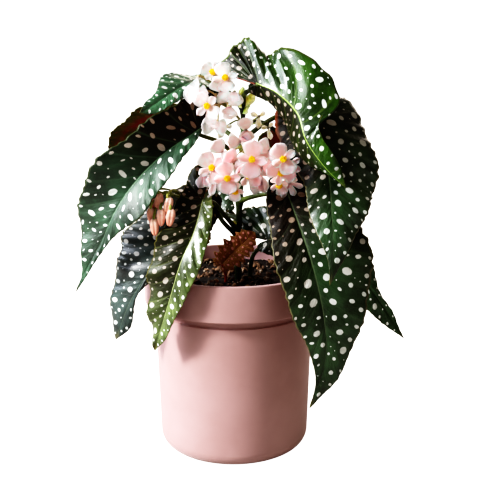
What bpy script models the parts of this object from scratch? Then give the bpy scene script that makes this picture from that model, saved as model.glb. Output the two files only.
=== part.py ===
"""Potted begonia: blush pot, dark soil, cane, spotted leaves and two flower sprays.

Lengths in the tables are millimetres; +Z is up, the pot stands on Z = 0 and the front faces -Y.
"""
import math

import bmesh
import bpy
import numpy as np

MM = 0.001
FIT_GAP = 0.3

RIM_RADIUS = 80.0
RIM_WALL = 4.0
POT_HEIGHT = 167.4
RIM_BOTTOM = 136.2
BODY_TOP_RADIUS = 70.8
BODY_FOOT_RADIUS = 67.3
FOOT_ROUNDING = 13.5
GROOVE_HEIGHT = 8.0
GROOVE_DEPTH = 2.5
FLOOR_THICKNESS = 8.0
# The wall is thicker at the foot by this much.
FOOT_EXTRA = 1.5
SOIL_LEVEL = 153.0
SOIL_ROUGHNESS = 1.8
POT_SIDES = 40

BLADE_THICKNESS = 0.9
LEAF_ROWS = 14
LEAF_COLUMNS = 3
PETAL_THICKNESS = 0.8
STEM_SIDES = 8
PEDICEL_RADIUS = 0.8
HOLE_CLEARANCE = 0.5

# Share of a leaf's margin rows that fan out from the place where the petiole joins.
FAN_SHARE = 0.36
OUTLINE_KNOTS = np.array([0.0, 0.07, 0.16, 0.27, 0.42, 0.58, 0.74, 0.88, 1.0])

# A side of a leaf is: reach behind the junction, width of the ear, then the widths of the blade at
# 16, 44, 68 and 87 % of its length, or seven or nine points of its margin, along and away from the
# midrib. "fold" tilts the two sides about the midrib, in degrees, and "bend" curls them on. "cup"
# lifts the left side by so many degrees, up to a row of its margin.
LEAVES = {
    "leaf_front_right": dict(
        rib=[(44.3, -50, 242.8), (55, -72, 215.3), (65, -88, 186), (74.2, -92, 145.3), (76, -88, 106.4),
             (64.5, -80, 61.8)],
        face=((0.0, -1, 0.22), (0.08, -1, -0.1)),
        right=(19.5, 33.5, 47.5, 46, 25, 11.5), left=(15, 15, 24.5, 28, 17, 3),
        fold=(0, 8), bend=(-16, -13), wave=0.05, waves=6),
    "leaf_front_left": dict(
        rib=[(-24.2, -55, 235.3), (-30.8, -70, 211.6), (-41.6, -78, 187.6), (-52, -76, 154.1),
             (-66.3, -64, 107.5)],
        face=((0.15, -1, -0.1), (-0.5, -1, 0.05)),
        right=(11.5, 7, 12.5, 17.5, 12, 8.5),
        left=((-30, 1), (-26, 14.5), (-7, 18), (29.5, 25.5), (63, 27), (97.5, 22.5), (125.5, 11)),
        fold=(26, -8), bend=(-8, -24), wave=0.06, waves=6),
    "leaf_low_left": dict(
        rib=[(-24.6, -14, 230), (-45.9, -36, 208.1), (-66.1, -54, 179.4), (-86.6, -53, 148.2),
             (-101.6, -45, 110.8)],
        face=((-0.1, -1, 0.1), (-0.6, -1, 0.3)),
        right=(12, 18, 24, 12, 3, 9), left=(20.5, 17, 32, 40.5, 27.5, 16.5),
        fold=(-12, -4), bend=(-20, -12), wave=0.05, waves=7),
    "leaf_big_left": dict(
        rib=[(-27, -35, 291.5), (-54.3, -50, 274.3), (-78.3, -60, 251.9), (-95.9, -62, 226.6),
             (-109, -58, 199.7), (-121.2, -54, 179), (-134.8, -45, 153)],
        face=((-0.49, -1, 0.73), (-0.33, -1, 0.17)),
        right=(2, 3, 16.5, 25.5, 7, 3.5), left=(32, 32.5, 28.5, 34.5, 28, 4),
        fold=(10, -2), bend=(-14, -8), cup=(48, 0.65), wave=0.04, waves=7),
    "leaf_upper_left": dict(
        rib=[(-22.6, -8, 331.5), (-36.8, -29, 328.5), (-52.1, -46, 320), (-65.6, -58, 311.4),
             (-73.6, -63, 307.5)],
        face=((-0.25, -0.5, 0.94), (-0.18, -0.9, 0.14)),
        right=(9, 13, 21, 12, 10, 7), left=(7, 13, 17, 21.5, 8.5, 6),
        fold=(8, 15), bend=(-24, -20), wave=0.07, waves=4),
    "leaf_top": dict(
        rib=[(19.8, -45, 329.3), (35.3, -58, 323.4), (51.6, -71, 307.8), (58.4, -81, 287.7),
             (72.2, -89, 268.3), (89.6, -91, 251.3)],
        face=((-0.15, -1, 0.5), (-0.3, -1, 0.55)),
        right=((-56, -4.5), (-40, 10), (-44, 24.5), (-35, 32.5), (-12.5, 27.5), (2.5, 34.5), (48, 36.5),
               (59, 14.5), (101, 10.5)),
        left=(9, 13, 14, 21.5, 16, 3),
        fold=(4, -46), bend=(-10, -24), wave=0.05, waves=5),
    "leaf_right": dict(
        rib=[(55.8, -36, 305.6), (69.7, -54, 289.4), (76.9, -72, 262), (79, -95, 229.8),
             (79, -109, 203.2), (76.7, -113, 178)],
        face=((0.09, -1, 0.69), (0.24, -1, 0.27)),
        right=(23, 41, 42.5, 41.5, 24.5, 9), left=(16, 22, 31.5, 21.5, 16, 4),
        fold=(2, -11), bend=(-24, -17), wave=0.05, waves=6),
    "leaf_low_right": dict(
        rib=[(30.4, -6, 190.6), (58.4, -12, 194.6), (91.2, -20, 183), (121.1, -26, 150.3),
             (150.4, -30, 107.1)],
        face=((0.1, -0.7, 0.59), (0.52, -0.9, 0.61)),
        right=(28, 41.5, 26.5, 26, 8, 4), left=(10, 12, 22, 21.5, 17, 9),
        fold=(4, -8), bend=(-10, -15), wave=0.05, waves=6),
    "leaf_back_left": dict(
        rib=[(-39.5, 34, 292.4), (-65.3, 48, 283.7), (-89.6, 56, 266.2), (-109.4, 58, 235.9),
             (-115.8, 55, 201.1)],
        face=((-0.3, 1, 0.5), (-0.5, 1, 0.1)),
        right=(14, 28, 36, 34, 20, 6), left=(8, 10, 18, 20, 16, 6),
        fold=(-6, -10), bend=(-22, -18), wave=0.06, waves=7),
    "leaf_back_right": dict(
        rib=[(43.6, 40, 282.7), (64.7, 56, 269.9), (84.6, 68, 246.7), (98.9, 72, 212.4),
             (104.9, 66, 176.4)],
        face=((0.3, 1, 0.5), (0.4, 1, 0.1)),
        right=(14, 26, 34, 28, 16, 5), left=(14, 22, 26, 22, 14, 5),
        fold=(-6, -10), bend=(-22, -18), wave=0.06, waves=6),
    "leaf_back_low": dict(
        rib=[(-43, 42, 206), (-54, 76, 191), (-60, 99, 160), (-57, 108, 112), (-48, 104, 68)],
        face=((-0.1, 1, 0.6), (0.0, 1, 0.1)),
        right=(14, 22, 30, 30, 18, 5), left=(16, 24, 32, 32, 20, 6),
        fold=(-6, -8), bend=(-20, -20), wave=0.05, waves=6),
    "leaf_inner": dict(
        rib=[(-7, 12, 215), (-13.5, 20, 222.7), (-18, 22, 231.5), (-21.3, 18, 242.1)],
        face=((-0.3, -1, 0.4), (-0.3, -1, 0.4)),
        right=(5, 8, 10, 9, 6, 3), left=(5, 8, 10, 9, 6, 3),
        fold=(-8, -8), bend=(-16, -16), wave=0.05, waves=4),
}

# Petioles run from inside the cane, or from the soil, to the back of their leaf.
PETIOLES = {
    "leaf_front_right": [(6, 1, 224.5), (16.2, -16, 231), (29.7, -33, 236.5)],
    "leaf_front_left": [(4, 0, 197), (-8, -18, 216), (-17, -36, 230)],
    "leaf_low_left": [(4, 0, 192), (-9, -3, 206), (-17, -5, 219)],
    "leaf_big_left": [(8, 1, 256), (2.5, -11, 265.5), (-11, -23, 279)],
    "leaf_upper_left": [(8.4, 3, 305), (-0.9, 3, 316), (-12, -1, 326)],
    "leaf_top": [(8.4, 1, 309), (9.4, -10, 317.4), (13.5, -25, 322)],
    "leaf_right": [(8.4, 1, 278), (24.8, -8, 292), (41, -20, 301.5)],
    "leaf_back_left": [(8.4, 3, 269), (0.4, 12, 278.7), (-17.5, 22, 289)],
    "leaf_back_right": [(8.4, 3, 288), (14.5, 14, 292.3), (28, 27, 290)],
    "leaf_back_low": [(4.6, 1, 208), (-6, 13, 209), (-24, 26, 204)],
    "leaf_inner": [(4.5, 1, 202), (2.5, 9, 206), (-2, 16.5, 211)],
    "leaf_low_right": [(14.5, 4, 118), (14.5, 4, 150), (15.5, 4, 167), (20, 5, 178)],
}
PETIOLE_RADII = (2.1, 1.6)

CANE = [(3.5, 0, 112), (3.7, 0, 150), (4.2, 0, 196), (5.5, 1.5, 228), (8, 2, 256), (8.4, 3, 290),
        (8.4, 2, 316)]
CANE_RADII = (3.2, 3.1, 2.9, 2.7, 2.5, 2.1, 1.6)
CANE_NODE_HEIGHTS = (196, 224, 256, 279, 304)
CANE_NODE_SWELLING = 1.2
# Foot, tip and width of the papery scales at the nodes.
STIPULES = [
    ((8.4, 1.5, 311), (8.5, -18, 325), 8),
    ((8.4, 2, 308), (20, -20, 322), 9),
    ((8.4, 2, 303), (14.5, -17, 309), 8),
    ((8.4, 1.5, 307), (3, -16, 316), 7),
    ((6, 0, 200), (-1, -3, 208), 4),
]

YOUNG_LEAF = dict(
    rib=[(-10, -13, 170), (-1, -17.5, 181), (9, -20, 191), (19, -21, 201)],
    face=((-0.05, -1, 0.3), (-0.05, -1, 0.25)),
    right=(5, 9, 11.5, 12, 10.5, 8), left=(5, 8, 10.5, 11.5, 10, 7),
    fold=(8, 4), bend=(-8, -14), wave=0.0, waves=4, teeth=0.22)
YOUNG_PETIOLE = [(-7, -9, 120), (-7, -9, 150), (-7, -9.7, 160), (-9, -12, 167.5)]
YOUNG_PETIOLE_RADII = (1.5, 1.2)

# Petals: direction in the flower's face, length, width and forward tilt, sizes as shares of the flower.
PETAL_SETS = {
    "open": [(90, 1.0, 0.98, 10), (270, 1.0, 0.98, 10), (0, 0.86, 0.46, 16), (180, 0.86, 0.46, 16)],
    "pair": [(90, 0.9, 1.05, 14), (270, 0.9, 1.05, 14)],
    "hang": [(250, 1.15, 0.72, 6), (292, 1.05, 0.66, 12)],
    "dry": [(255, 1.25, 0.55, 14), (25, 0.7, 0.4, -8), (150, 0.85, 0.45, 6)],
    "drop": [(270, 1.6, 0.95, 4)],
    "heart": [(262, 1.0, 1.0, 34), (278, 1.0, 1.0, -26)],
    "star": [(245, 1.0, 0.42, 6), (298, 0.85, 0.42, 6), (350, 0.9, 0.38, 6), (50, 0.7, 0.38, 10),
             (150, 0.6, 0.34, 10)],
}

# Flower, kind, centre, the way that it faces, spin about that and petal size.
FLOWERS = {
    "spray_upper": [
        ("a1", "open", (-5.2, -50, 333.4), (-0.1, -1, 0.35), 15, 13.5),
        ("a2", "open", (-18.9, -62, 312.5), (-0.3, -1, 0.1), 40, 13.5),
        ("a3", "drop", (-27.5, -46, 335), (-0.5, -1, 0.1), -8, 14),
        ("a4", "open", (-15.2, -38, 337), (-0.25, -1, 0.5), 66, 12),
        ("a5", "heart", (2, -58, 323.5), (0, -1, 0.1), 0, 12),
        ("a6", "heart", (-2.4, -60, 312), (0.1, -1, 0.1), 8, 11),
        ("a7", "heart", (-15.4, -54, 303.5), (-0.2, -1, 0.1), -10, 10),
        ("a8", "pair", (-14.1, -44, 294.5), (-0.2, -1, 0.1), 80, 13),
        ("a9", "pair", (-9, -42, 323), (0, -1, 0.1), 30, 13),
        ("a10", "pair", (-27, -52, 322), (-0.4, -1, 0), 100, 12),
    ],
    "spray_main": [
        ("b1", "pair", (11.3, -54, 292.7), (0, -1, 0.2), 10, 12),
        ("b2", "open", (-15.4, -66, 263.5), (-0.3, -1, 0.2), 36, 15),
        ("b3", "open", (-3.5, -76, 257), (0, -1, 0), 10, 14),
        ("b4", "open", (15.9, -82, 272), (0.05, -1, 0.3), -10, 16),
        ("b5", "open", (13.4, -66, 257.8), (0.05, -1, -0.15), 52, 12),
        ("b6", "open", (39.8, -92, 273.6), (0.15, -1, 0.3), 30, 14),
        ("b7", "open", (38.6, -78, 261.4), (0.1, -1, 0), 75, 13),
        ("b8", "open", (38, -68, 251), (0, -1, -0.4), 20, 10),
        ("b9", "open", (2.7, -60, 244.6), (-0.1, -1, -0.4), 0, 10),
        ("b10", "hang", (22.7, -58, 256), (0, -1, -0.1), 0, 14),
        ("b11", "star", (46.5, -60, 250), (0.2, -1, -0.3), 0, 13),
        ("b12", "star", (44.5, -72.5, 265.5), (0.2, -1, 0), 48, 13),
        ("b13", "hang", (-21.7, -54, 257.7), (-0.2, -1, -0.1), 0, 12),
        ("b14", "pair", (29.5, -68, 277.5), (0, -1, 0.3), 60, 13),
        ("b17", "pair", (27, -56, 266), (0, -1, 0.1), 20, 13),
        ("b21", "pair", (3.2, -64, 268.6), (-0.1, -1, 0.1), 50, 13),
        ("b23", "pair", (24.2, -62, 263), (0, -1, 0), 105, 13),
        ("b24", "star", (-13.5, -58, 252), (-0.2, -1, -0.2), 10, 13),
        ("b25", "pair", (-7.8, -57, 275), (-0.2, -1, 0.2), 35, 13),
        ("b26", "pair", (6.4, -57, 283.5), (0, -1, 0.2), 95, 12),
    ],
    "spray_buds": [
        ("c1", "bud", (-65, -62, 233.7), (0, -1, 0), -10, 6.5),
        ("c2", "bud", (-59.4, -66, 236), (0, -1, 0), 5, 6.5),
        ("c3", "bud", (-51.7, -69, 233), (0, -1, 0), 12, 6.5),
        ("c4", "bud", (-65.6, -66, 223.8), (0, -1, 0), -6, 6.5),
        ("c5", "bud", (-57.6, -70, 223.7), (0, -1, 0), 0, 6.5),
        ("c6", "bud", (-49.8, -71, 223.6), (0, -1, 0), 10, 6.5),
        ("c7", "bud", (-63, -70.3, 215.8), (0, -1, 0), -4, 6.5),
    ],
    "spray_dried": [
        ("d1", "dry", (22, -27, 301), (0, -1, 0.1), 10, 9),
        ("d2", "dry", (29.6, -31, 292), (0.2, -1, 0), 25, 8),
        ("d3", "dry", (-6.5, -28, 292), (0, -1, 0.1), -15, 9),
    ],
}

# Flower stalks from beside the cane to the place where the pedicels part.
PEDUNCLES = {
    "spray_upper": [(7.6, -3.5, 294.1), (1, -17, 303), (-6.3, -30, 311), (-14, -37, 320)],
    "spray_main": [(8.8, -3, 283.7), (12, -16, 282), (17, -34, 278), (23, -50, 270)],
    "spray_buds": [(-16.15, -29.85, 225.6), (-19.9, -28.7, 224.7), (-27, -36, 228), (-38, -41, 233),
                   (-50, -44.5, 238), (-60, -54.5, 241)],
    "spray_dried": [(8.8, -3.0, 288), (15, -12, 293.3)],
}
PEDUNCLE_RADIUS = 1.2
# A petal's margin beyond its root, along and across, as shares of its size.
BROAD_PETAL = ((0.6, -0.48), (0.96, -0.2), (0.96, 0.2), (0.6, 0.48))
NARROW_PETAL = ((0.55, -0.46), (1.0, 0.0), (0.55, 0.46))
# Where a petal that stands alone starts, behind the middle of its flower's heart.
LONE_ROOT = -0.08
STAMEN_LIFT = 3.2
STAMEN_RADII = (2.9, 2.2)
# A pedicel widens a little where it meets the flower.
HEART_RADIUS = 1.3


def unit(vectors):
    """Return the vectors with length one."""
    vectors = np.asarray(vectors, float)
    return vectors / np.linalg.norm(vectors, axis=-1, keepdims=True)


def smooth_path(points, count):
    """Return evenly spaced points of the Catmull-Rom curve through the points, and its length."""
    points = np.asarray(points, float)
    ends = (2 * points[0] - points[1], 2 * points[-1] - points[-2])
    knots = np.vstack([ends[0], points, ends[1]])
    t = np.linspace(0, 1, 24, endpoint=False)[:, None]
    spans = []
    for p0, p1, p2, p3 in zip(knots, knots[1:], knots[2:], knots[3:]):
        cubic = (3 * p1 - p0 - 3 * p2 + p3) * t ** 3
        square = (2 * p0 - 5 * p1 + 4 * p2 - p3) * t ** 2
        spans.append(0.5 * (2 * p1 + (p2 - p0) * t + square + cubic))
    dense = np.vstack(spans + [points[-1:]])
    run = np.r_[0, np.cumsum(np.linalg.norm(np.diff(dense, axis=0), axis=1))]
    stations = np.linspace(0, run[-1], count)
    return np.stack([np.interp(stations, run, dense[:, k]) for k in range(3)], -1), run[-1]


def knot_curve(values, at, knots=OUTLINE_KNOTS):
    """Read a smooth curve through the values given at the knots."""
    values = np.r_[2 * values[0] - values[1], values, 2 * values[-1] - values[-2]]
    span = np.clip(np.searchsorted(knots, at, side="right") - 1, 0, len(knots) - 2)
    low, high = knots[span], knots[span + 1]
    t = (at - low) / (high - low)
    p0, p1, p2, p3 = (values[span + k] for k in range(4))
    cubic = (3 * p1 - p0 - 3 * p2 + p3) * t ** 3
    square = (2 * p0 - 5 * p1 + 4 * p2 - p3) * t ** 2
    return 0.5 * (2 * p1 + (p2 - p0) * t + square + cubic)


def side_outline(rows, length, side):
    """Return the margin of one side of a leaf, along and away from its midrib."""
    if len(side) > 6:
        knots = OUTLINE_KNOTS if len(side) == 7 else np.linspace(0, 1, len(side) + 2)
        along, away = (np.array([0.0, *axis, end]) for axis, end in zip(zip(*side), (length, 0.0)))
        return knot_curve(along, rows, knots), knot_curve(away, rows, knots)
    reach, ear, w1, w2, w3, w4 = side
    along = [0, -0.75 * reach, -reach, -0.62 * reach, 0.16 * length, 0.44 * length, 0.68 * length,
             0.87 * length, length]
    away = [0.001, 0.16 * ear, 0.5 * ear, 0.9 * ear, w1, w2, w3, w4, 0.0]
    return knot_curve(np.array(along), rows), knot_curve(np.array(away), rows)


def leaf_side(spec, sign, rows, shares):
    """Return one side's points: rows run round the margin, shares run from the midrib to the margin.

    A point is (share of the way to the margin) bent up or down by the angle fold + bend * share^1.3,
    set on the midrib's own frame, with waves that grow towards the margin. A cup adds its lift to the
    angle on the left side, fading out by a tanh about its row.
    """
    rib, length = smooth_path(spec["rib"], 160)
    side = spec["right"] if sign > 0 else spec["left"]
    pick = 0 if sign > 0 else 1
    fold, bend = math.radians(spec["fold"][pick]), math.radians(spec["bend"][pick])
    w, q = rows[:, None], shares[None, :]
    cx, cy = side_outline(w, length, side)
    phase = 0.0 if sign > 0 else 1.7
    ends = np.sin(np.pi * w) ** 0.5
    ripple = 2 * np.pi * spec["waves"] * w + phase
    cy = cy * (1 + 0.04 * np.sin(ripple) * ends)
    if "teeth" in spec:
        tooth = 1 + spec["teeth"] * np.where(np.arange(len(rows)) % 2, 1.0, -1.0)[:, None] * ends
        cx, cy = np.where(w < FAN_SHARE, cx * tooth, cx), cy * tooth
    start = length * np.clip((w - FAN_SHARE) / (1 - FAN_SHARE), 0, 1) ** 1.15
    x = start + (cx - start) * q + 0.06 * length * q * (1 - q) * np.sin(np.pi * w)
    y = cy * q
    angle = fold + bend * q ** 1.3
    if sign < 0 and "cup" in spec:
        lift, row = spec["cup"]
        angle = angle + math.radians(lift) * 0.5 * (1 - np.tanh((w - row) / 0.07))
    middle = 0.5 * (angle[:, 1:] + angle[:, :-1])
    step = np.diff(y, axis=1)
    flat = np.cumsum(np.hstack([y[:, :1], step * np.cos(middle)]), axis=1)
    lift = np.cumsum(np.hstack([0 * y[:, :1], step * np.sin(middle)]), axis=1)
    lift = lift + np.max(side) * 0.7 * spec["wave"] * q ** 2.2 * np.sin(ripple + 0.8) * ends
    return on_midrib(spec, rib, length, x, sign * flat, lift)


def on_midrib(spec, rib, length, x, across, lift):
    """Set along/across/lift coordinates on the frame that follows the midrib."""
    share = np.linspace(0, 1, len(rib))[:, None]
    tangent = unit(np.gradient(rib, axis=0))
    face = np.asarray(spec["face"][0]) * (1 - share) + np.asarray(spec["face"][1]) * share
    normal = unit(face - (face * tangent).sum(1, keepdims=True) * tangent)
    binormal = np.cross(normal, tangent)
    at = np.clip(x / length, 0, 1) * (len(rib) - 1)
    grid = np.arange(len(rib))

    def read(table):
        return np.stack([np.interp(at, grid, table[:, k]) for k in range(3)], -1)

    behind = np.minimum(x, 0)[..., None] * tangent[0]
    return read(rib) + behind + across[..., None] * read(binormal) + lift[..., None] * read(normal)


def leaf_surface(spec, row_count, columns):
    """Return the points and triangles of a leaf's middle surface."""
    rows = np.linspace(0.045, 1, row_count)
    shares = np.linspace(0, 1, columns + 1)
    sides = {sign: leaf_side(spec, sign, rows, shares) for sign in (1, -1)}
    points = []
    ribs = []
    for i, w in enumerate(rows):
        if w <= FAN_SHARE and ribs:
            ribs.append(ribs[0])
            continue
        ribs.append(len(points))
        points.append(sides[1][i, 0])
    tip = ribs[-1]
    faces = []
    for sign, grid in sides.items():
        index = np.full((row_count, columns + 1), tip)
        index[:, 0] = ribs
        for i in range(row_count - 1):
            for j in range(1, columns + 1):
                index[i, j] = len(points)
                points.append(grid[i, j])
        faces += grid_triangles(index, sign < 0)
    return np.array(points), faces


def grid_triangles(index, flip):
    """Return two triangles for each cell of a grid of vertex numbers, without the collapsed ones."""
    faces = []
    for i in range(index.shape[0] - 1):
        for j in range(index.shape[1] - 1):
            a, b, c, d = index[i, j], index[i, j + 1], index[i + 1, j + 1], index[i + 1, j]
            for corner in ((a, b, c), (a, c, d)):
                if len(set(corner)) == 3:
                    faces.append(corner[::-1] if flip else corner)
    return faces


def thicken(points, faces, thickness):
    """Return the closed body that lies half the thickness to each side of a surface."""
    points = np.asarray(points, float)
    triangles = np.array(faces)
    corners = points[triangles]
    facing = np.cross(corners[:, 1] - corners[:, 0], corners[:, 2] - corners[:, 0])
    normals = np.zeros_like(points)
    for k in range(3):
        np.add.at(normals, triangles[:, k], facing)
    normals = unit(normals) * thickness / 2
    count = len(points)
    edges = {}
    for a, b, c in faces:
        for edge in ((a, b), (b, c), (c, a)):
            edges[edge] = True
    solid = [tuple(f) for f in faces] + [tuple(v + count for v in f[::-1]) for f in faces]
    for a, b in edges:
        if (b, a) not in edges:
            solid += [(b, a, a + count), (b, a + count, b + count)]
    return np.vstack([points + normals, points - normals]), solid


def tube(points, radii, rings, sides=STEM_SIDES):
    """Return a closed round tube along the curve through the points, radius running from end to end."""
    dense, _ = smooth_path(points, 240)
    picks = np.linspace(0, 239, rings).astype(int)
    path, tangent = dense[picks], unit(np.gradient(dense, axis=0))[picks]
    radius = np.interp(np.linspace(0, 1, rings), np.linspace(0, 1, len(radii)), radii)
    side = np.cross(tangent[0], (0.31, 0.77, 0.55))
    vertices = []
    turn = 2 * np.pi * np.arange(sides) / sides
    for centre, along, r in zip(path, tangent, radius):
        side = unit(side - np.dot(side, along) * along)
        other = np.cross(along, side)
        vertices.append(centre + r * (np.cos(turn)[:, None] * side + np.sin(turn)[:, None] * other))
    vertices = list(np.vstack(vertices)) + [path[0], path[-1]]
    low, high = len(vertices) - 2, len(vertices) - 1
    faces = []
    for i in range(rings - 1):
        for k in range(sides):
            a, b = i * sides + k, i * sides + (k + 1) % sides
            faces += [(a, b, b + sides), (a, b + sides, a + sides)]
    last = (rings - 1) * sides
    for k in range(sides):
        faces += [(low, (k + 1) % sides, k), (high, last + k, last + (k + 1) % sides)]
    return np.array(vertices), faces


def ball(centre, radii, rings=4, sides=8, axis=(0, 0, 1)):
    """Return a closed ball with its own radius along the axis and across it."""
    axis = unit(axis)
    helper = (1, 0, 0) if abs(axis[0]) < 0.8 else (0, 1, 0)
    across = unit(np.cross(axis, helper))
    third = np.cross(axis, across)
    vertices = [np.asarray(centre) - radii[1] * axis]
    for i in range(1, rings):
        polar = np.pi * i / rings
        for k in range(sides):
            turn = 2 * np.pi * k / sides
            ring = np.cos(turn) * across + np.sin(turn) * third
            vertices.append(np.asarray(centre) + radii[0] * np.sin(polar) * ring
                            - radii[1] * np.cos(polar) * axis)
    vertices.append(np.asarray(centre) + radii[1] * axis)
    top = len(vertices) - 1
    faces = []
    for k in range(sides):
        a, b = 1 + k, 1 + (k + 1) % sides
        faces.append((0, b, a))
        for i in range(rings - 2):
            p, r = a + i * sides, b + i * sides
            faces += [(p, r, r + sides), (p, r + sides, p + sides)]
        faces.append((a + (rings - 2) * sides, b + (rings - 2) * sides, top))
    return np.array(vertices), faces


def make_material(name, colour, roughness):
    """Return a Principled material."""
    material = bpy.data.materials.new(name)
    material.use_nodes = True
    shader = material.node_tree.nodes["Principled BSDF"]
    shader.inputs["Base Color"].default_value = (*colour, 1)
    shader.inputs["Roughness"].default_value = roughness
    material.diffuse_color = (*colour, 1)
    return material


def make_object(name, body, material, smooth=True):
    """Link a mesh object whose points are given in millimetres."""
    points, faces = body
    mesh = bpy.data.meshes.new(name)
    mesh.from_pydata([tuple(p * MM) for p in np.asarray(points)], [], [tuple(map(int, f)) for f in faces])
    mesh.update()
    item = bpy.data.objects.new(name, mesh)
    bpy.context.scene.collection.objects.link(item)
    mesh.materials.append(material)
    mesh.polygons.foreach_set("use_smooth", [smooth] * len(mesh.polygons))
    return item


def drop_object(item):
    """Remove an object."""
    bpy.data.objects.remove(item, do_unlink=True)


def join_bodies(name, bodies, material, solver="MANIFOLD"):
    """Unite closed bodies into one named object with a single Boolean on a collection."""
    first = make_object(name, bodies[0], material)
    extra = bpy.data.collections.new(name + "_parts")
    bpy.context.scene.collection.children.link(extra)
    helpers = [make_object(f"{name}_part_{i}", body, material) for i, body in enumerate(bodies[1:])]
    for helper in helpers:
        bpy.context.scene.collection.objects.unlink(helper)
        extra.objects.link(helper)
    union = first.modifiers.new("union", "BOOLEAN")
    union.operation = "UNION"
    union.operand_type = "COLLECTION"
    union.collection = extra
    union.solver = solver
    apply_modifiers(first)
    for helper in helpers:
        drop_object(helper)
    bpy.data.collections.remove(extra)
    first.data.polygons.foreach_set("use_smooth", [True] * len(first.data.polygons))
    return first


def apply_modifiers(item):
    """Replace an object's mesh with its evaluated one."""
    graph = bpy.context.evaluated_depsgraph_get()
    mesh = bpy.data.meshes.new_from_object(item.evaluated_get(graph))
    item.modifiers.clear()
    item.data = mesh


def revolve(profile, sides):
    """Return the body swept by a profile (radius, height) round the Z axis; its ends lie on the axis."""
    vertices = [(0, 0, profile[0][1])]
    for radius, height in profile[1:-1]:
        for k in range(sides):
            turn = 2 * math.pi * k / sides
            vertices.append((radius * math.cos(turn), radius * math.sin(turn), height))
    vertices.append((0, 0, profile[-1][1]))
    last = len(vertices) - 1
    rows = len(profile) - 2
    faces = []
    for k in range(sides):
        a, b = 1 + k, 1 + (k + 1) % sides
        faces.append((0, b, a))
        for i in range(rows - 1):
            low = i * sides
            faces.append((a + low, b + low, b + low + sides, a + low + sides))
        faces.append((a + (rows - 1) * sides, b + (rows - 1) * sides, last))
    return np.array(vertices, float), faces


def foot_arc(radius, rounding, base, steps):
    """Return profile points of a rounded foot edge that ends at the wall."""
    points = []
    for i in range(steps + 1):
        turn = math.radians(90 * i / steps)
        out, up = rounding * math.sin(turn), rounding * math.cos(turn)
        points.append((radius - rounding + out, base + rounding - up))
    return points


def pot_profile():
    """Return the pot's outline from the middle of its base, up the outside and down the inside."""
    groove_top = RIM_BOTTOM
    groove_low = RIM_BOTTOM - GROOVE_HEIGHT
    inner_top = RIM_RADIUS - RIM_WALL
    inner_body = BODY_TOP_RADIUS - GROOVE_DEPTH - RIM_WALL
    inner_foot = BODY_FOOT_RADIUS - RIM_WALL - FOOT_EXTRA
    outside = [(0, 0)] + foot_arc(BODY_FOOT_RADIUS, FOOT_ROUNDING, 0, 4)
    outside += [(BODY_TOP_RADIUS, groove_low - 0.8), (BODY_TOP_RADIUS - 0.8, groove_low),
                (BODY_TOP_RADIUS - GROOVE_DEPTH, groove_low), (BODY_TOP_RADIUS - GROOVE_DEPTH, groove_top),
                (RIM_RADIUS - 1, groove_top), (RIM_RADIUS, groove_top + 1), (RIM_RADIUS, POT_HEIGHT - 1),
                (RIM_RADIUS - 1, POT_HEIGHT)]
    inside = [(inner_top + 0.6, POT_HEIGHT), (inner_top, POT_HEIGHT - 0.8), (inner_top, RIM_BOTTOM + 8),
              (inner_body, RIM_BOTTOM - 4)]
    arc = foot_arc(inner_foot, 10, FLOOR_THICKNESS, 2)
    return outside + inside + arc[::-1] + [(0, FLOOR_THICKNESS)]


def build_pot(material):
    """Build the pot as one solid of revolution."""
    return make_object("pot", revolve(pot_profile(), POT_SIDES), material)


def build_soil(material):
    """Build the soil that fills the pot, with a rough top and plain holes for the stems."""
    rim = RIM_RADIUS - RIM_WALL - FIT_GAP
    body = BODY_TOP_RADIUS - GROOVE_DEPTH - RIM_WALL - FIT_GAP
    foot = BODY_FOOT_RADIUS - RIM_WALL - FOOT_EXTRA - FIT_GAP
    profile = [(0, FLOOR_THICKNESS + FIT_GAP)] + foot_arc(foot, 10, FLOOR_THICKNESS + FIT_GAP, 2)
    profile += [(body, RIM_BOTTOM - 3.7), (rim, RIM_BOTTOM + 8.3), (rim, SOIL_LEVEL - 3)]
    profile += [(rim * share, SOIL_LEVEL) for share in (0.93, 0.78, 0.6, 0.42, 0.22)] + [(0, SOIL_LEVEL)]
    points, faces = revolve(profile, POT_SIDES // 2)
    random = np.random.default_rng(7)
    top = points[:, 2] > SOIL_LEVEL - 1
    points[top, 2] += random.uniform(-SOIL_ROUGHNESS, SOIL_ROUGHNESS, top.sum())
    soil = make_object("soil", (points, faces), material, smooth=False)
    bore(soil, CANE[0], CANE_RADII[0])
    bore(soil, PETIOLES["leaf_low_right"][0], PETIOLE_RADII[0])
    bore(soil, YOUNG_PETIOLE[0], YOUNG_PETIOLE_RADII[0])
    return soil


def bore(item, foot, radius):
    """Cut a plain round hole from just under a stem's foot up through the top."""
    r = radius / math.cos(math.pi / STEM_SIDES) + HOLE_CLEARANCE
    path = [(foot[0], foot[1], foot[2] - 1), (foot[0], foot[1], 190)]
    cutter = make_object("cutter", tube(path, (r, r), 2, 16), item.data.materials[0])
    cut = item.modifiers.new("hole", "BOOLEAN")
    cut.operation = "DIFFERENCE"
    cut.object = cutter
    cut.solver = "EXACT"
    apply_modifiers(item)
    drop_object(cutter)


def petiole_end(name):
    """Return the last points of a petiole, which comes up to the back of its leaf's junction."""
    spec = LEAVES[name]
    rib = np.array(spec["rib"][0], float)
    along = unit(np.array(spec["rib"][1], float) - rib)
    face = np.array(spec["face"][0], float)
    normal = unit(face - np.dot(face, along) * along)
    low_fold = min(spec["fold"][0], spec["fold"][1], 0)
    gap = BLADE_THICKNESS / 2 + FIT_GAP + 0.5 + PETIOLE_RADII[1] * math.tan(math.radians(-low_fold + 6))
    return [tuple(rib + along - normal * (gap + 5)), tuple(rib + along - normal * gap)]


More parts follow.
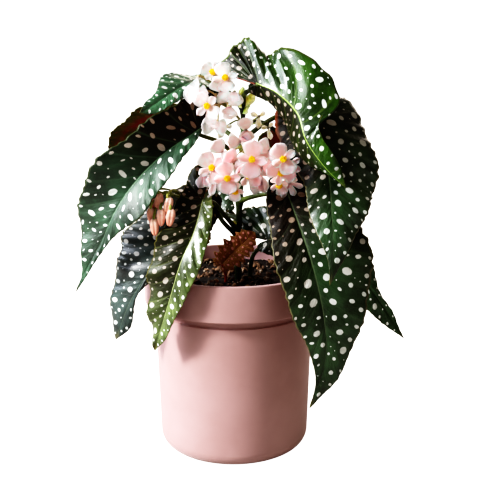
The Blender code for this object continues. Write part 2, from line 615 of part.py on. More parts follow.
def cane_tube():
    """Return the main stem, swollen where its leaves and side shoot grow."""
    rings = 26
    path, _ = smooth_path(CANE, rings)
    radii = np.interp(np.linspace(0, 1, rings), np.linspace(0, 1, len(CANE_RADII)), CANE_RADII)
    for height in CANE_NODE_HEIGHTS:
        radii = radii + CANE_NODE_SWELLING * np.exp(-((path[:, 2] - height) / 4.5) ** 2)
    return tube(CANE, radii, rings)


def build_stems(material):
    """Build the cane with its stipules and the petioles of the leaves that grow from it."""
    bodies = [cane_tube()]
    for name, points in PETIOLES.items():
        if name != "leaf_low_right":
            bodies.append(tube(points + petiole_end(name), PETIOLE_RADII, 6, 5))
    for foot, tip, width in STIPULES:
        bodies.append(stipule(foot, tip, width))
    cane = join_bodies("cane", bodies, material)
    points = PETIOLES["leaf_low_right"] + petiole_end("leaf_low_right")
    lone = make_object("petiole_low_right", tube(points, PETIOLE_RADII, 10, 6), material)
    return [cane, lone]


def stipule(foot, tip, width):
    """Return a small pointed scale that stands off the stem."""
    foot, tip = np.array(foot, float), np.array(tip, float)
    middle = 0.45 * foot + 0.55 * tip + (0, 0, 1.2)
    return tube([foot, middle, tip], (1.2, width / 2, 0.5), 4, 5)


def build_leaf(name, material):
    """Build one leaf blade."""
    surface = leaf_surface(LEAVES[name], LEAF_ROWS, LEAF_COLUMNS)
    return make_object(name, thicken(*surface, BLADE_THICKNESS), material)


def build_young_leaf(material):
    """Build the serrated young leaf together with its petiole."""
    surface = leaf_surface(YOUNG_LEAF, 21, 2)
    blade = thicken(*surface, BLADE_THICKNESS)
    stalk = tube(YOUNG_PETIOLE + [YOUNG_LEAF["rib"][0]], YOUNG_PETIOLE_RADII, 9, 6)
    return join_bodies("young_leaf", [blade, stalk], material)


def flower_frame(facing, spin):
    """Return the right, up and forward directions of a flower's face."""
    forward = unit(facing)
    right = unit(np.cross(forward, (0, 0, 1))) * -1
    up = np.cross(forward, right)
    turn = math.radians(spin)
    return (math.cos(turn) * right + math.sin(turn) * up, math.cos(turn) * up - math.sin(turn) * right,
            forward)


def petal_outline(centre, frame, angle, length, width, tilt, root=0.2):
    """Return the rounded outline of one petal, tilted forward and cupped a little."""
    right, up, forward = frame
    turn, lean = math.radians(angle), math.radians(tilt)
    level = math.cos(turn) * right + math.sin(turn) * up
    along = math.cos(lean) * level + math.sin(lean) * forward
    across = np.cross(forward, level)
    normal = np.cross(along, across)
    margin = BROAD_PETAL if width > 0.6 * length else NARROW_PETAL
    shares = ((root, -0.12),) + margin + ((root, 0.12),)
    return [np.asarray(centre) + a * length * along + b * width * across + 0.1 * length * a * a * normal
            for a, b in shares]


def petal_plate(centre, frame, petals):
    """Return petals that surround the flower's heart as one thin lobed plate."""
    outline = []
    for angle, length, width, tilt in sorted(petals):
        outline += petal_outline(centre, frame, angle, length, width, tilt)
    hub = len(outline)
    faces = [(hub, i, (i + 1) % hub) for i in range(hub)]
    return thicken(outline + [np.asarray(centre, float)], faces, PETAL_THICKNESS)


def lone_petal(centre, frame, angle, length, width, tilt):
    """Return one petal that starts inside the flower's heart."""
    outline = petal_outline(centre, frame, angle, length, width, tilt, LONE_ROOT)
    middle = 0.5 * (outline[1] + outline[-2])
    hub = len(outline)
    faces = [(hub, i, (i + 1) % hub) for i in range(hub)]
    return thicken(outline + [middle], faces, PETAL_THICKNESS)


def flower_bodies(kind, centre, facing, spin, size):
    """Return the petals of one flower, or the body of a bud or husk."""
    if kind in ("bud", "husk"):
        lean = math.radians(spin)
        axis = (math.sin(lean), 0, math.cos(lean))
        tall = size if kind == "bud" else size * 0.8
        return [ball(centre, (size * 0.62, tall), 4, 6, axis)]
    frame = flower_frame(facing, spin)
    petals = [(a, l * size, w * size, t) for a, l, w, t in PETAL_SETS[kind]]
    if kind in ("open", "pair", "star", "dry"):
        return [petal_plate(centre, frame, petals)]
    return [lone_petal(centre, frame, *row) for row in petals]


def pedicel(foot, kind, centre, facing, size, arch):
    """Return the thin stalk that runs from its place on the peduncle to the back of a flower."""
    foot, centre = np.array(foot, float), np.array(centre, float)
    if kind in ("bud", "husk"):
        end = centre + (0, 0, size * 0.6)
        before = end + (0, 0, 5)
    else:
        end = centre
        before = end - 7 * unit(facing)
    middle = 0.5 * (foot + before) + (0, 0, arch)
    return tube([foot, middle, before, end], (PEDICEL_RADIUS, PEDICEL_RADIUS, HEART_RADIUS), 4, 4)


def keep_largest(item):
    """Drop the slivers that a union can leave beside its main body."""
    mesh = bmesh.new()
    mesh.from_mesh(item.data)
    left = set(mesh.faces)
    groups = []
    while left:
        group = set()
        edge_of = {left.pop()}
        while edge_of:
            group |= edge_of
            shared = [e.link_faces for face in edge_of for e in face.edges if len(e.link_faces) == 2]
            edge_of = {face for pair in shared for face in pair} - group
        left -= group
        groups.append(group)
    groups.sort(key=len)
    for group in groups[:-1]:
        bmesh.ops.delete(mesh, geom=list(group), context="FACES")
    bmesh.ops.delete(mesh, geom=[v for v in mesh.verts if not v.link_faces], context="VERTS")
    mesh.to_mesh(item.data)
    mesh.free()


def build_spray(name, material):
    """Build one spray: peduncle, pedicels and petals as one body."""
    stalk, _ = smooth_path(PEDUNCLES[name], 60)
    rows = FLOWERS[name]
    bodies = [tube(PEDUNCLES[name], (PEDUNCLE_RADIUS,), 8, 6)]
    for i, (_, kind, centre, facing, spin, size) in enumerate(rows):
        foot = stalk[27 + 30 * i // len(rows)]
        bodies.append(pedicel(foot, kind, centre, facing, size, 1 + 2 * (i % 4)))
        bodies += flower_bodies(kind, np.array(centre, float), facing, spin, size)
    spray = join_bodies(name, bodies, material)
    keep_largest(spray)
    return spray


def build_stamens(material):
    """Build the stamen cluster of each open flower, just clear of its petals."""
    clusters = []
    for rows in FLOWERS.values():
        for name, kind, centre, facing, spin, size in rows:
            if kind == "open":
                forward = flower_frame(facing, spin)[2]
                place = np.array(centre, float) + STAMEN_LIFT * forward
                tuft = ball(place, STAMEN_RADII, 4, 7, forward)
                clusters.append(make_object("stamens_" + name, tuft, material))
    return clusters


def clear_scene():
    """Remove every object that the scene starts with."""
    for item in list(bpy.data.objects):
        bpy.data.objects.remove(item, do_unlink=True)


def build():
    """Build every piece."""
    clear_scene()
    leaf_green = make_material("spotted leaf", (0.022, 0.055, 0.026), 0.38)
    wine = make_material("young leaf", (0.16, 0.035, 0.02), 0.45)
    stem_green = make_material("cane", (0.05, 0.07, 0.02), 0.5)
    build_pot(make_material("blush ceramic", (0.62, 0.36, 0.33), 0.6))
    build_soil(make_material("potting soil", (0.02, 0.014, 0.01), 0.95))
    build_stems(stem_green)
    for name in LEAVES:
        build_leaf(name, leaf_green)
    build_young_leaf(wine)
    petal_pink = make_material("pink petals", (0.85, 0.5, 0.48), 0.5)
    build_spray("spray_upper", petal_pink)
    build_spray("spray_main", petal_pink)
    build_spray("spray_buds", petal_pink)
    build_spray("spray_dried", make_material("dried petals", (0.55, 0.4, 0.22), 0.8))
    build_stamens(make_material("stamens", (0.9, 0.55, 0.02), 0.6))


build()
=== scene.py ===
"""Potted begonia: blush pot, bark-strewn soil, cane, spotted leaves and clusters of pink flowers.

Sizes in the tables are millimetres, +Z is up, the pot stands on Z = 0 and its front faces -Y.
"""
import math
from functools import partial

import bpy
import numpy as np
from bpy.props import FloatProperty, FloatVectorProperty, IntProperty, PointerProperty
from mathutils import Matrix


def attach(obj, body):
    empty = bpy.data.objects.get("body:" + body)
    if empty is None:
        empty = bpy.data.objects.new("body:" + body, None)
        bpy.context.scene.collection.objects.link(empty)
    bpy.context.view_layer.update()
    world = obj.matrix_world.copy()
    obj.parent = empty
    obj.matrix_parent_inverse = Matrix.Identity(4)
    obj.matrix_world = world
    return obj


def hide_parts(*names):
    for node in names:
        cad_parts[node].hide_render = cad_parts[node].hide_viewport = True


bl_info = {
    "name": "Potted begonia",
    "version": (1, 0, 0),
    "blender": (4, 5, 0),
    "location": "View3D > Sidebar > Begonia",
    "description": "Builds a potted begonia with spotted leaves and pink flowers",
    "category": "Add Mesh",
}

MM = 0.001
BODY = "root"
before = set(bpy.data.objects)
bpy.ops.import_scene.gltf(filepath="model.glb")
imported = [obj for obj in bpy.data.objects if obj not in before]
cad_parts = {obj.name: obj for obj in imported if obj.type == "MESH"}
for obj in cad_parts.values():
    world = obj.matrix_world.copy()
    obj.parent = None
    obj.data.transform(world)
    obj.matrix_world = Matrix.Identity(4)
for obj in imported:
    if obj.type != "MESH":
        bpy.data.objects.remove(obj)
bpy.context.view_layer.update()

# The photograph's viewpoint.
CAMERA_PLACE = (0.01451, -0.82361, 0.37388)
CAMERA_PITCH = 0.23112
CAMERA_LENS = 68.22
CAMERA_SENSOR = 36
TONE_BEND = 0.45
TONE_KNOTS = (0.03, 0.07, 0.12, 0.2, 0.3, 0.42, 0.55, 0.7, 0.85)
LIGHT_TARGET = (0, 0, 0.2)
WHITE_GLOW = 1.1

# A leaf's rows of points run round its margin. FAN_SHARE of them fan out from the junction with the
# petiole, and the rest start along the midrib.
FAN_SHARE = 0.36
FIRST_ROW = 0.045
OUTLINE_KNOTS = np.array([0.0, 0.07, 0.16, 0.27, 0.42, 0.58, 0.74, 0.88, 1.0])
WIDTH_PLACES = (0.16, 0.44, 0.68, 0.87)
RIB_STEPS = 200
VEIN_BOW = 0.06
CURL_POWER = 1.3
CUP_FADE = 0.07
# The margin waves grow by a power of the share; the fine ripple has a height and a frequency.
WAVE_POWER = 2.2
RIPPLE_HEIGHT, RIPPLE_OFTEN = 0.5, 4.1
# The margin's scallops as shares of the width, with how often they come in a margin wave and where
# they start; the left side's waves start later.
SCALLOPS = ((0.04, 1, 0.0), (0.014, 5.3, 1.1), (0.012, 7.7, 0.4))
LEFT_START = 1.7
# The bulges rise with the distance from the midrib, the groove over it with that from the junction.
BULGE_RISE, GROOVE_RISE = 22, 12
RIB_GROOVE, GROOVE_WIDTH = 0.5, 1.6
# The midrib's ridge on the lower face.
RIDGE, RIDGE_WIDTH = 0.9, 1.5
MARGIN_THINNING = 0.45
# Thickness of the solid blade, and the room that its petiole keeps behind it.
BLADE_OF_SOURCE = 0.9
PETIOLE_GAP = 0.8
TUBE_STEPS = 400

# The pot's wall and the soil's plug.
FOOT_ROUND = 13.5
GROOVE_DEPTH, GROOVE_HEIGHT = 2.5, 8
RIM_WALL, LOWER_WALL, POT_FLOOR = 4, 5.5, 8
# The inside slopes from the rim to the body by one step, and to the floor by the other.
RIM_SLOPE, FLOOR_SLOPE = 4, 10
POT_EDGE, POT_STEP, POT_SIDES = 1.0, 9, 128
SOIL_PLUG = ((0, 8.6), (50, 8.6), (61, 20), (63.8, 100), (63.8, 132), (75.5, 145))
SOIL_RADIUS, SOIL_RINGS, SOIL_SIDES = 75.5, 60, 144
CHIP_REACH = 73

# What a leaf's table leaves out.
PLAIN_LEAF = dict(
    puff=1.1, oval=0.96, cup=(0, 0.5), teeth=0.0, tooth_rows=0, dusk=((0.5, 0.3, 0.6), (0.5, 0.3, 0.6)),
    gloss=(0.65, 0.24), blush=(0, 0.0), pale=0.14)


def leaf(**table):
    """Return a leaf's table, filled up from the plain one."""
    return {**PLAIN_LEAF, **table}


# A side of a leaf is: reach behind the junction, width of the ear, then the widths of the blade at
# WIDTH_PLACES, or seven or nine points of its margin, along and away from the midrib. "fold" tilts
# the right and left sides about the midrib, in degrees, and "bend" curls them on. "cup" lifts the
# left side by so many degrees, up to a row of its margin. "puff" is the height of the bulges between
# the veins. "tone" names the colours of the upper face, and leaf_material explains "gloss", "blush",
# "pale" and "dusk", the painted shade that darkens each half near the petiole. An "oval" over 1 draws
# the spots out along the veins.
LEAVES = {
    "leaf_front_right": leaf(
        rib=[(44.3, -50, 242.8), (55, -72, 215.3), (65, -88, 186), (74.2, -92, 145.3), (76, -88, 106.4),
             (64.5, -80, 61.8)],
        face=((0.0, -1, 0.22), (0.08, -1, -0.1)),
        right=(19.5, 33.5, 47.5, 46, 25, 11.5), left=(15, 15, 24.5, 28, 17, 3),
        fold=(0, 8), bend=(-16, -13), wave=0.05, waves=6,
        dusk=((1, 0.42, 0.8), (1, 0.36, 0.68)), tone="deep"),
    "leaf_front_left": leaf(
        rib=[(-24.2, -55, 235.3), (-30.8, -70, 211.6), (-41.6, -78, 187.6), (-52, -76, 154.1),
             (-66.3, -64, 107.5)],
        face=((0.15, -1, -0.1), (-0.5, -1, 0.05)),
        right=(11.5, 7, 12.5, 17.5, 12, 8.5),
        left=((-30, 1), (-26, 14.5), (-7, 18), (29.5, 25.5), (63, 27), (97.5, 22.5), (125.5, 11)),
        fold=(26, -8), bend=(-8, -24), wave=0.06, waves=6, puff=1.9,
        dusk=((0.85, 0.55, 1.2), (0.4, 0.1, 0.35)), blush=(1, 0.3), gloss=(1.0, 0.26), tone="olive"),
    "leaf_low_left": leaf(
        rib=[(-24.6, -14, 230), (-45.9, -36, 208.1), (-66.1, -54, 179.4), (-86.6, -53, 148.2),
             (-101.6, -45, 110.8)],
        face=((-0.1, -1, 0.1), (-0.6, -1, 0.3)),
        right=(12, 18, 24, 12, 3, 9), left=(20.5, 17, 32, 40.5, 27.5, 16.5),
        fold=(-12, -4), bend=(-20, -12), wave=0.05, waves=7, puff=1.5,
        dusk=((0.8, 0.35, 0.75), (0.95, 0.5, 0.85)), gloss=(0.9, 0.3), tone="slate"),
    "leaf_big_left": leaf(
        rib=[(-27, -35, 291.5), (-54.3, -50, 274.3), (-78.3, -60, 251.9), (-95.9, -62, 226.6),
             (-109, -58, 199.7), (-121.2, -54, 179), (-134.8, -45, 153)],
        face=((-0.49, -1, 0.73), (-0.33, -1, 0.17)),
        right=(2, 3, 16.5, 25.5, 7, 3.5), left=(32, 32.5, 28.5, 34.5, 28, 4),
        fold=(10, -2), bend=(-14, -8), cup=(48, 0.65), wave=0.04, waves=7, oval=1.16,
        dusk=((1, 0.42, 0.7), (0.45, 0.2, 0.45)), gloss=(0.75, 0.48), tone="silver"),
    "leaf_upper_left": leaf(
        rib=[(-22.6, -8, 331.5), (-36.8, -29, 328.5), (-52.1, -46, 320), (-65.6, -58, 311.4),
             (-73.6, -63, 307.5)],
        face=((-0.25, -0.5, 0.94), (-0.18, -0.9, 0.14)),
        right=(9, 13, 21, 12, 10, 7), left=(7, 13, 17, 21.5, 8.5, 6),
        fold=(8, 15), bend=(-24, -20), wave=0.07, waves=4,
        dusk=((0.1, 0.25, 0.5), (0.1, 0.25, 0.5)), gloss=(1.0, 0.3), tone="painted_sheen"),
    "leaf_top": leaf(
        rib=[(19.8, -45, 329.3), (35.3, -58, 323.4), (51.6, -71, 307.8), (58.4, -81, 287.7),
             (72.2, -89, 268.3), (89.6, -91, 251.3)],
        face=((-0.15, -1, 0.5), (-0.3, -1, 0.55)),
        right=((-56, -4.5), (-40, 10), (-44, 24.5), (-35, 32.5), (-12.5, 27.5), (2.5, 34.5), (48, 36.5),
               (59, 14.5), (101, 10.5)),
        left=(9, 13, 14, 21.5, 16, 3),
        fold=(4, -46), bend=(-10, -24), wave=0.05, waves=5, puff=2.0,
        dusk=((0.85, 0.6, 1.0), (0.8, 0.34, 0.5)), gloss=(0.8, 0.2), tone="fresh"),
    "leaf_right": leaf(
        rib=[(55.8, -36, 305.6), (69.7, -54, 289.4), (76.9, -72, 262), (79, -95, 229.8),
             (79, -109, 203.2), (76.7, -113, 178)],
        face=((0.09, -1, 0.69), (0.24, -1, 0.27)),
        right=(23, 41, 42.5, 41.5, 24.5, 9), left=(16, 22, 31.5, 21.5, 16, 4),
        fold=(2, -11), bend=(-24, -17), wave=0.05, waves=6,
        dusk=((0.95, 0.5, 0.85), (0.45, 0.4, 0.65)), blush=(-1, 0.4), gloss=(1.0, 0.28), tone="deep"),
    "leaf_low_right": leaf(
        rib=[(30.4, -6, 190.6), (58.4, -12, 194.6), (91.2, -20, 183), (121.1, -26, 150.3),
             (150.4, -30, 107.1)],
        face=((0.1, -0.7, 0.59), (0.52, -0.9, 0.61)),
        right=(28, 41.5, 26.5, 26, 8, 4), left=(10, 12, 22, 21.5, 17, 9),
        fold=(4, -8), bend=(-10, -15), wave=0.05, waves=6,
        dusk=((0.2, 0.4, 0.7), (0.2, 0.4, 0.7)), tone="deep"),
    "leaf_back_left": leaf(
        rib=[(-39.5, 34, 292.4), (-65.3, 48, 283.7), (-89.6, 56, 266.2), (-109.4, 58, 235.9),
             (-115.8, 55, 201.1)],
        face=((-0.3, 1, 0.5), (-0.5, 1, 0.1)),
        right=(14, 28, 36, 34, 20, 6), left=(8, 10, 18, 20, 16, 6),
        fold=(-6, -10), bend=(-22, -18), wave=0.06, waves=7, tone="deep"),
    "leaf_back_right": leaf(
        rib=[(43.6, 40, 282.7), (64.7, 56, 269.9), (84.6, 68, 246.7), (98.9, 72, 212.4),
             (104.9, 66, 176.4)],
        face=((0.3, 1, 0.5), (0.4, 1, 0.1)),
        right=(14, 26, 34, 28, 16, 5), left=(14, 22, 26, 22, 14, 5),
        fold=(-6, -10), bend=(-22, -18), wave=0.06, waves=6, tone="deep"),
    "leaf_back_low": leaf(
        rib=[(-43, 42, 206), (-54, 76, 191), (-60, 99, 160), (-57, 108, 112), (-48, 104, 68)],
        face=((-0.1, 1, 0.6), (0.0, 1, 0.1)),
        right=(14, 22, 30, 30, 18, 5), left=(16, 24, 32, 32, 20, 6),
        fold=(-6, -8), bend=(-20, -20), wave=0.05, waves=6, tone="deep"),
    "leaf_inner": leaf(
        rib=[(-7, 12, 215), (-13.5, 20, 222.7), (-18, 22, 231.5), (-21.3, 18, 242.1)],
        face=((-0.3, -1, 0.4), (-0.3, -1, 0.4)),
        right=(5, 8, 10, 9, 6, 3), left=(5, 8, 10, 9, 6, 3),
        fold=(-8, -8), bend=(-16, -16), wave=0.05, waves=4, tone="deep"),
}

# Dark cells, light cells, ribs and margin of the upper faces.
LEAF_TONES = {
    "deep": ("#1a2a12", "#375233", "#5c6c50", "#5d5a3c"),
    "silver": ("#1c2f20", "#3a5a42", "#6a8a6c", "#3a4426"),
    # Painted reflection: these pale greens stand in for the sky's sheen on the upper left leaf.
    "painted_sheen": ("#294530", "#527a5c", "#84a486", "#3a4426"),
    "slate": ("#1a2422", "#42544f", "#5c6c5a", "#5d5a3c"),
    "fresh": ("#1a3008", "#365a16", "#9cbc58", "#4c5a24"),
    "olive": ("#2e3a16", "#687a48", "#b6c48a", "#5f5a28"),
}

# Petioles run from inside the cane, or from the soil, to the back of their leaf.
PETIOLES = {
    "leaf_front_right": [(6, 1, 224.5), (16.2, -16, 231), (29.7, -33, 236.5)],
    "leaf_front_left": [(4, 0, 197), (-8, -18, 216), (-17, -36, 230)],
    "leaf_low_left": [(4, 0, 192), (-9, -3, 206), (-17, -5, 219)],
    "leaf_big_left": [(8, 1, 256), (2.5, -11, 265.5), (-11, -23, 279)],
    "leaf_upper_left": [(8.4, 3, 305), (-0.9, 3, 316), (-12, -1, 326)],
    "leaf_top": [(8.4, 1, 309), (9.4, -10, 317.4), (13.5, -25, 322)],
    "leaf_right": [(8.4, 1, 278), (24.8, -8, 292), (41, -20, 301.5)],
    "leaf_back_left": [(8.4, 3, 269), (0.4, 12, 278.7), (-17.5, 22, 289)],
    "leaf_back_right": [(8.4, 3, 288), (14.5, 14, 292.3), (28, 27, 290)],
    "leaf_back_low": [(4.6, 1, 208), (-6, 13, 209), (-24, 26, 204)],
    "leaf_inner": [(4.5, 1, 202), (2.5, 9, 206), (-2, 16.5, 211)],
    "leaf_low_right": [(14.5, 4, 118), (14.5, 4, 150), (15.5, 4, 167), (20, 5, 178)],
}
PETIOLE_RADII = (2.3, 1.6)

CANE = [(3.5, 0, 112), (3.7, 0, 150), (4.2, 0, 196), (5.5, 1.5, 228), (8, 2, 256), (8.4, 3, 290),
        (8.4, 2, 316)]
CANE_RADII = (3.2, 3.1, 2.9, 2.7, 2.5, 2.1, 1.6)
CANE_NODE_HEIGHTS = (196, 224, 256, 279, 304)
CANE_NODE_SWELLING, CANE_NODE_SPREAD = 1.2, 4.5
# Foot, tip and width of the papery scales at the nodes.
STIPULES = [
    ((8.4, 1.5, 311), (8.5, -18, 325), 8),
    ((8.4, 2, 308), (20, -20, 322), 9),
    ((8.4, 2, 303), (14.5, -17, 309), 8),
    ((8.4, 1.5, 307), (3, -16, 316), 7),
    ((6, 0, 200), (-1, -3, 208), 4),
]

YOUNG_LEAF = leaf(
    rib=[(-10, -13, 170), (-1, -17.5, 181), (9, -20, 191), (19, -21, 201)],
    face=((-0.05, -1, 0.3), (-0.05, -1, 0.25)),
    right=(5, 9, 11.5, 12, 10.5, 8), left=(5, 8, 10.5, 11.5, 10, 7),
    fold=(8, 4), bend=(-8, -14), wave=0.0, waves=4, teeth=0.22, tooth_rows=20,
    dusk=((0, 0, 1), (0, 0, 1)), gloss=(0.25, 0.3), pale=0.6)
YOUNG_TONES = ("#8c5838", "#bc8a56", "#d8b268", "#c09a50")
YOUNG_VEINS = 9
YOUNG_PETIOLE = [(-7, -9, 120), (-7, -9, 150), (-7, -9.7, 160), (-9, -12, 167.5)]

# Petals: direction in the flower's face, length, width and forward tilt, sizes as shares of the flower.
PETAL_SETS = {
    "open": [(90, 1.0, 0.98, 10), (270, 1.0, 0.98, 10), (0, 0.86, 0.46, 16), (180, 0.86, 0.46, 16)],
    "pair": [(90, 0.9, 1.05, 14), (270, 0.9, 1.05, 14)],
    "hang": [(250, 1.15, 0.72, 6), (292, 1.05, 0.66, 12)],
    "dry": [(255, 1.25, 0.55, 14), (25, 0.7, 0.4, -8), (150, 0.85, 0.45, 6)],
    "drop": [(270, 1.6, 0.95, 4)],
    "heart": [(262, 1.0, 1.0, 34), (278, 1.0, 1.0, -26)],
    "star": [(245, 1.0, 0.42, 6), (298, 0.85, 0.42, 6), (350, 0.9, 0.38, 6), (50, 0.7, 0.38, 10),
             (150, 0.6, 0.34, 10)],
}

# Flower, kind, centre, the way that it faces, spin about that and petal size.
FLOWERS = {
    "spray_upper": [
        ("a1", "open", (-5.2, -50, 333.4), (-0.1, -1, 0.35), 15, 13.5),
        ("a2", "open", (-18.9, -62, 312.5), (-0.3, -1, 0.1), 40, 13.5),
        ("a3", "drop", (-27.5, -46, 335), (-0.5, -1, 0.1), -8, 14),
        ("a4", "open", (-15.2, -38, 337), (-0.25, -1, 0.5), 66, 12),
        ("a5", "heart", (2, -58, 323.5), (0, -1, 0.1), 0, 12),
        ("a6", "heart", (-2.4, -60, 312), (0.1, -1, 0.1), 8, 11),
        ("a7", "heart", (-15.4, -54, 303.5), (-0.2, -1, 0.1), -10, 10),
        ("a8", "pair", (-14.1, -44, 294.5), (-0.2, -1, 0.1), 80, 13),
        ("a9", "pair", (-9, -42, 323), (0, -1, 0.1), 30, 13),
        ("a10", "pair", (-27, -52, 322), (-0.4, -1, 0), 100, 12),
    ],
    "spray_main": [
        ("b1", "pair", (11.3, -54, 292.7), (0, -1, 0.2), 10, 12),
        ("b2", "open", (-15.4, -66, 263.5), (-0.3, -1, 0.2), 36, 15),
        ("b3", "open", (-3.5, -76, 257), (0, -1, 0), 10, 14),
        ("b4", "open", (15.9, -82, 272), (0.05, -1, 0.3), -10, 16),
        ("b5", "open", (13.4, -66, 257.8), (0.05, -1, -0.15), 52, 12),
        ("b6", "open", (39.8, -92, 273.6), (0.15, -1, 0.3), 30, 14),
        ("b7", "open", (38.6, -78, 261.4), (0.1, -1, 0), 75, 13),
        ("b8", "open", (38, -68, 251), (0, -1, -0.4), 20, 10),
        ("b9", "open", (2.7, -60, 244.6), (-0.1, -1, -0.4), 0, 10),
        ("b10", "hang", (22.7, -58, 256), (0, -1, -0.1), 0, 14),
        ("b11", "star", (46.5, -60, 250), (0.2, -1, -0.3), 0, 13),
        ("b12", "star", (44.5, -72.5, 265.5), (0.2, -1, 0), 48, 13),
        ("b13", "hang", (-21.7, -54, 257.7), (-0.2, -1, -0.1), 0, 12),
        ("b14", "pair", (29.5, -68, 277.5), (0, -1, 0.3), 60, 13),
        ("b17", "pair", (27, -56, 266), (0, -1, 0.1), 20, 13),
        ("b21", "pair", (3.2, -64, 268.6), (-0.1, -1, 0.1), 50, 13),
        ("b23", "pair", (24.2, -62, 263), (0, -1, 0), 105, 13),
        ("b24", "star", (-13.5, -58, 252), (-0.2, -1, -0.2), 10, 13),
        ("b25", "pair", (-7.8, -57, 275), (-0.2, -1, 0.2), 35, 13),
        ("b26", "pair", (6.4, -57, 283.5), (0, -1, 0.2), 95, 12),
    ],
    "spray_buds": [
        ("c1", "bud", (-65, -62, 233.7), (0, -1, 0), -10, 6.5),
        ("c2", "bud", (-59.4, -66, 236), (0, -1, 0), 5, 6.5),
        ("c3", "bud", (-51.7, -69, 233), (0, -1, 0), 12, 6.5),
        ("c4", "bud", (-65.6, -66, 223.8), (0, -1, 0), -6, 6.5),
        ("c5", "bud", (-57.6, -70, 223.7), (0, -1, 0), 0, 6.5),
        ("c6", "bud", (-49.8, -71, 223.6), (0, -1, 0), 10, 6.5),
        ("c7", "bud", (-63, -70.3, 215.8), (0, -1, 0), -4, 6.5),
    ],
    "spray_dried": [
        ("d1", "dry", (22, -27, 301), (0, -1, 0.1), 10, 9),
        ("d2", "dry", (29.6, -31, 292), (0.2, -1, 0), 25, 8),
        ("d3", "dry", (-6.5, -28, 292), (0, -1, 0.1), -15, 9),
    ],
}

# Flower stalks from beside the cane to the place where the pedicels part.
PEDUNCLES = {
    "spray_upper": [(7.6, -3.5, 294.1), (1, -17, 303), (-6.3, -30, 311), (-14, -37, 320)],
    "spray_main": [(8.8, -3, 283.7), (12, -16, 282), (17, -34, 278), (23, -50, 270)],
    "spray_buds": [(-16.15, -29.85, 225.6), (-19.9, -28.7, 224.7), (-27, -36, 228), (-38, -41, 233),
                   (-50, -44.5, 238), (-60, -54.5, 241)],
    "spray_dried": [(8.8, -3.0, 288), (15, -12, 293.3)],
}
PEDUNCLE_RADIUS = 1.2
PEDUNCLE_STEPS, FIRST_PEDICEL = 60, 27
PEDICEL_RADIUS = 0.7
# A pedicel's last stretch, above a bud or behind a flower.
BUD_NECK, FLOWER_NECK = 5, 7
PETAL_THICKNESS = 0.5
STAMEN_LIFT = 3.2
ANTHERS, TUFT_RADIUS = 34, 2.5
ANTHER_RADII, FILAMENT_RADII, CORE_RADII = (0.55, 0.95), (0.22, 1.7), (1.9, 1.9)
GOLDEN_ANGLE = 2.399963
# How pink the petals of the upper spray and of the others are, from 0 to 1.
PALE_FLUSH, FULL_FLUSH = 0.36, 0.7

# Least and largest radius of the spots of each size, their room between each other and the tries.
SPOT_SIZES = (
    (2.6, 3.7, 9.0, 900),
    (1.5, 2.2, 4.6, 900),
    (0.8, 1.2, 3.6, 700),
    (0.4, 0.6, 3.6, 500),
)
SPOT_STRETCH, SPOT_TWIST = (1.04, 1.34), 0.35
MARGIN_ROOM, RIB_ROOM = 0.7, 1.0
# A spot's radius is at most this share of its distance from the margin and this much more.
EDGE_SHARE, EDGE_EXTRA = 0.42, 0.25
# No spot starts beyond this share from the midrib to the margin.
LAST_SHARE = 0.97
# Leaves shorter than the full length have smaller spots, down to this scale.
FULL_LENGTH, SMALLEST_SCALE = 190, 0.72
# A place further than this from every point of the blade's grid is outside it.
GRID_REACH = 2.2


def hex_colour(code):
    """Return the linear colour of an sRGB hex value."""
    parts = np.array([int(code[k:k + 2], 16) for k in (1, 3, 5)]) / 255
    linear = np.where(parts <= 0.04045, parts / 12.92, ((parts + 0.055) / 1.055) ** 2.4)
    return tuple(float(value) for value in linear)


def unit(vectors):
    """Return the vectors with length one."""
    vectors = np.asarray(vectors, float)
    return vectors / np.maximum(np.linalg.norm(vectors, axis=-1, keepdims=True), 1e-12)


def catmull_rom(p0, p1, p2, p3, t):
    """Return the curve from p1 to p2 at the share t.

    It is (2 p1 + (p2 - p0) t + (2 p0 - 5 p1 + 4 p2 - p3) t^2 + (3 p1 - p0 - 3 p2 + p3) t^3) / 2.
    """
    cubic = (3 * p1 - p0 - 3 * p2 + p3) * t ** 3
    square = (2 * p0 - 5 * p1 + 4 * p2 - p3) * t ** 2
    return 0.5 * (2 * p1 + (p2 - p0) * t + square + cubic)


def with_ends(values):
    """Return the values with one more at each end, in line with the two nearest to it."""
    values = np.asarray(values, float)
    return np.concatenate([[2 * values[0] - values[1]], values, [2 * values[-1] - values[-2]]])


def smooth_path(points, count):
    """Return evenly spaced points of the smooth curve through the points, and its length."""
    knots = with_ends(points)
    t = np.linspace(0, 1, 24, endpoint=False)[None, :, None]
    dense = catmull_rom(*(knots[k:len(knots) - 3 + k, None] for k in range(4)), t).reshape(-1, 3)
    dense = np.vstack([dense, knots[-2:-1]])
    run = np.r_[0, np.cumsum(np.linalg.norm(np.diff(dense, axis=0), axis=1))]
    stations = np.linspace(0, run[-1], count)
    return np.stack([np.interp(stations, run, dense[:, k]) for k in range(3)], -1), run[-1]


def side_outline(rows, length, side):
    """Return the margin of one side of a leaf, along and away from its midrib, for all rows."""
    knots = OUTLINE_KNOTS
    if len(side) > 6:
        along, away = ([0.0, *axis, end] for axis, end in zip(zip(*side), (length, 0.0)))
        if len(along) != len(knots):
            knots = np.linspace(0, 1, len(along))
    else:
        reach, ear, *widths = side
        middle = [share * length for share in WIDTH_PLACES]
        along = [0, -0.75 * reach, -reach, -0.62 * reach, *middle, length]
        away = [0.001, 0.16 * ear, 0.5 * ear, 0.9 * ear, *widths, 0.0]
    span = np.clip(np.searchsorted(knots, rows, side="right") - 1, 0, len(knots) - 2)
    t = (rows - knots[span]) / (knots[span + 1] - knots[span])
    ended = (with_ends(values) for values in (along, away))
    return [catmull_rom(*(values[span + k] for k in range(4)), t) for values in ended]


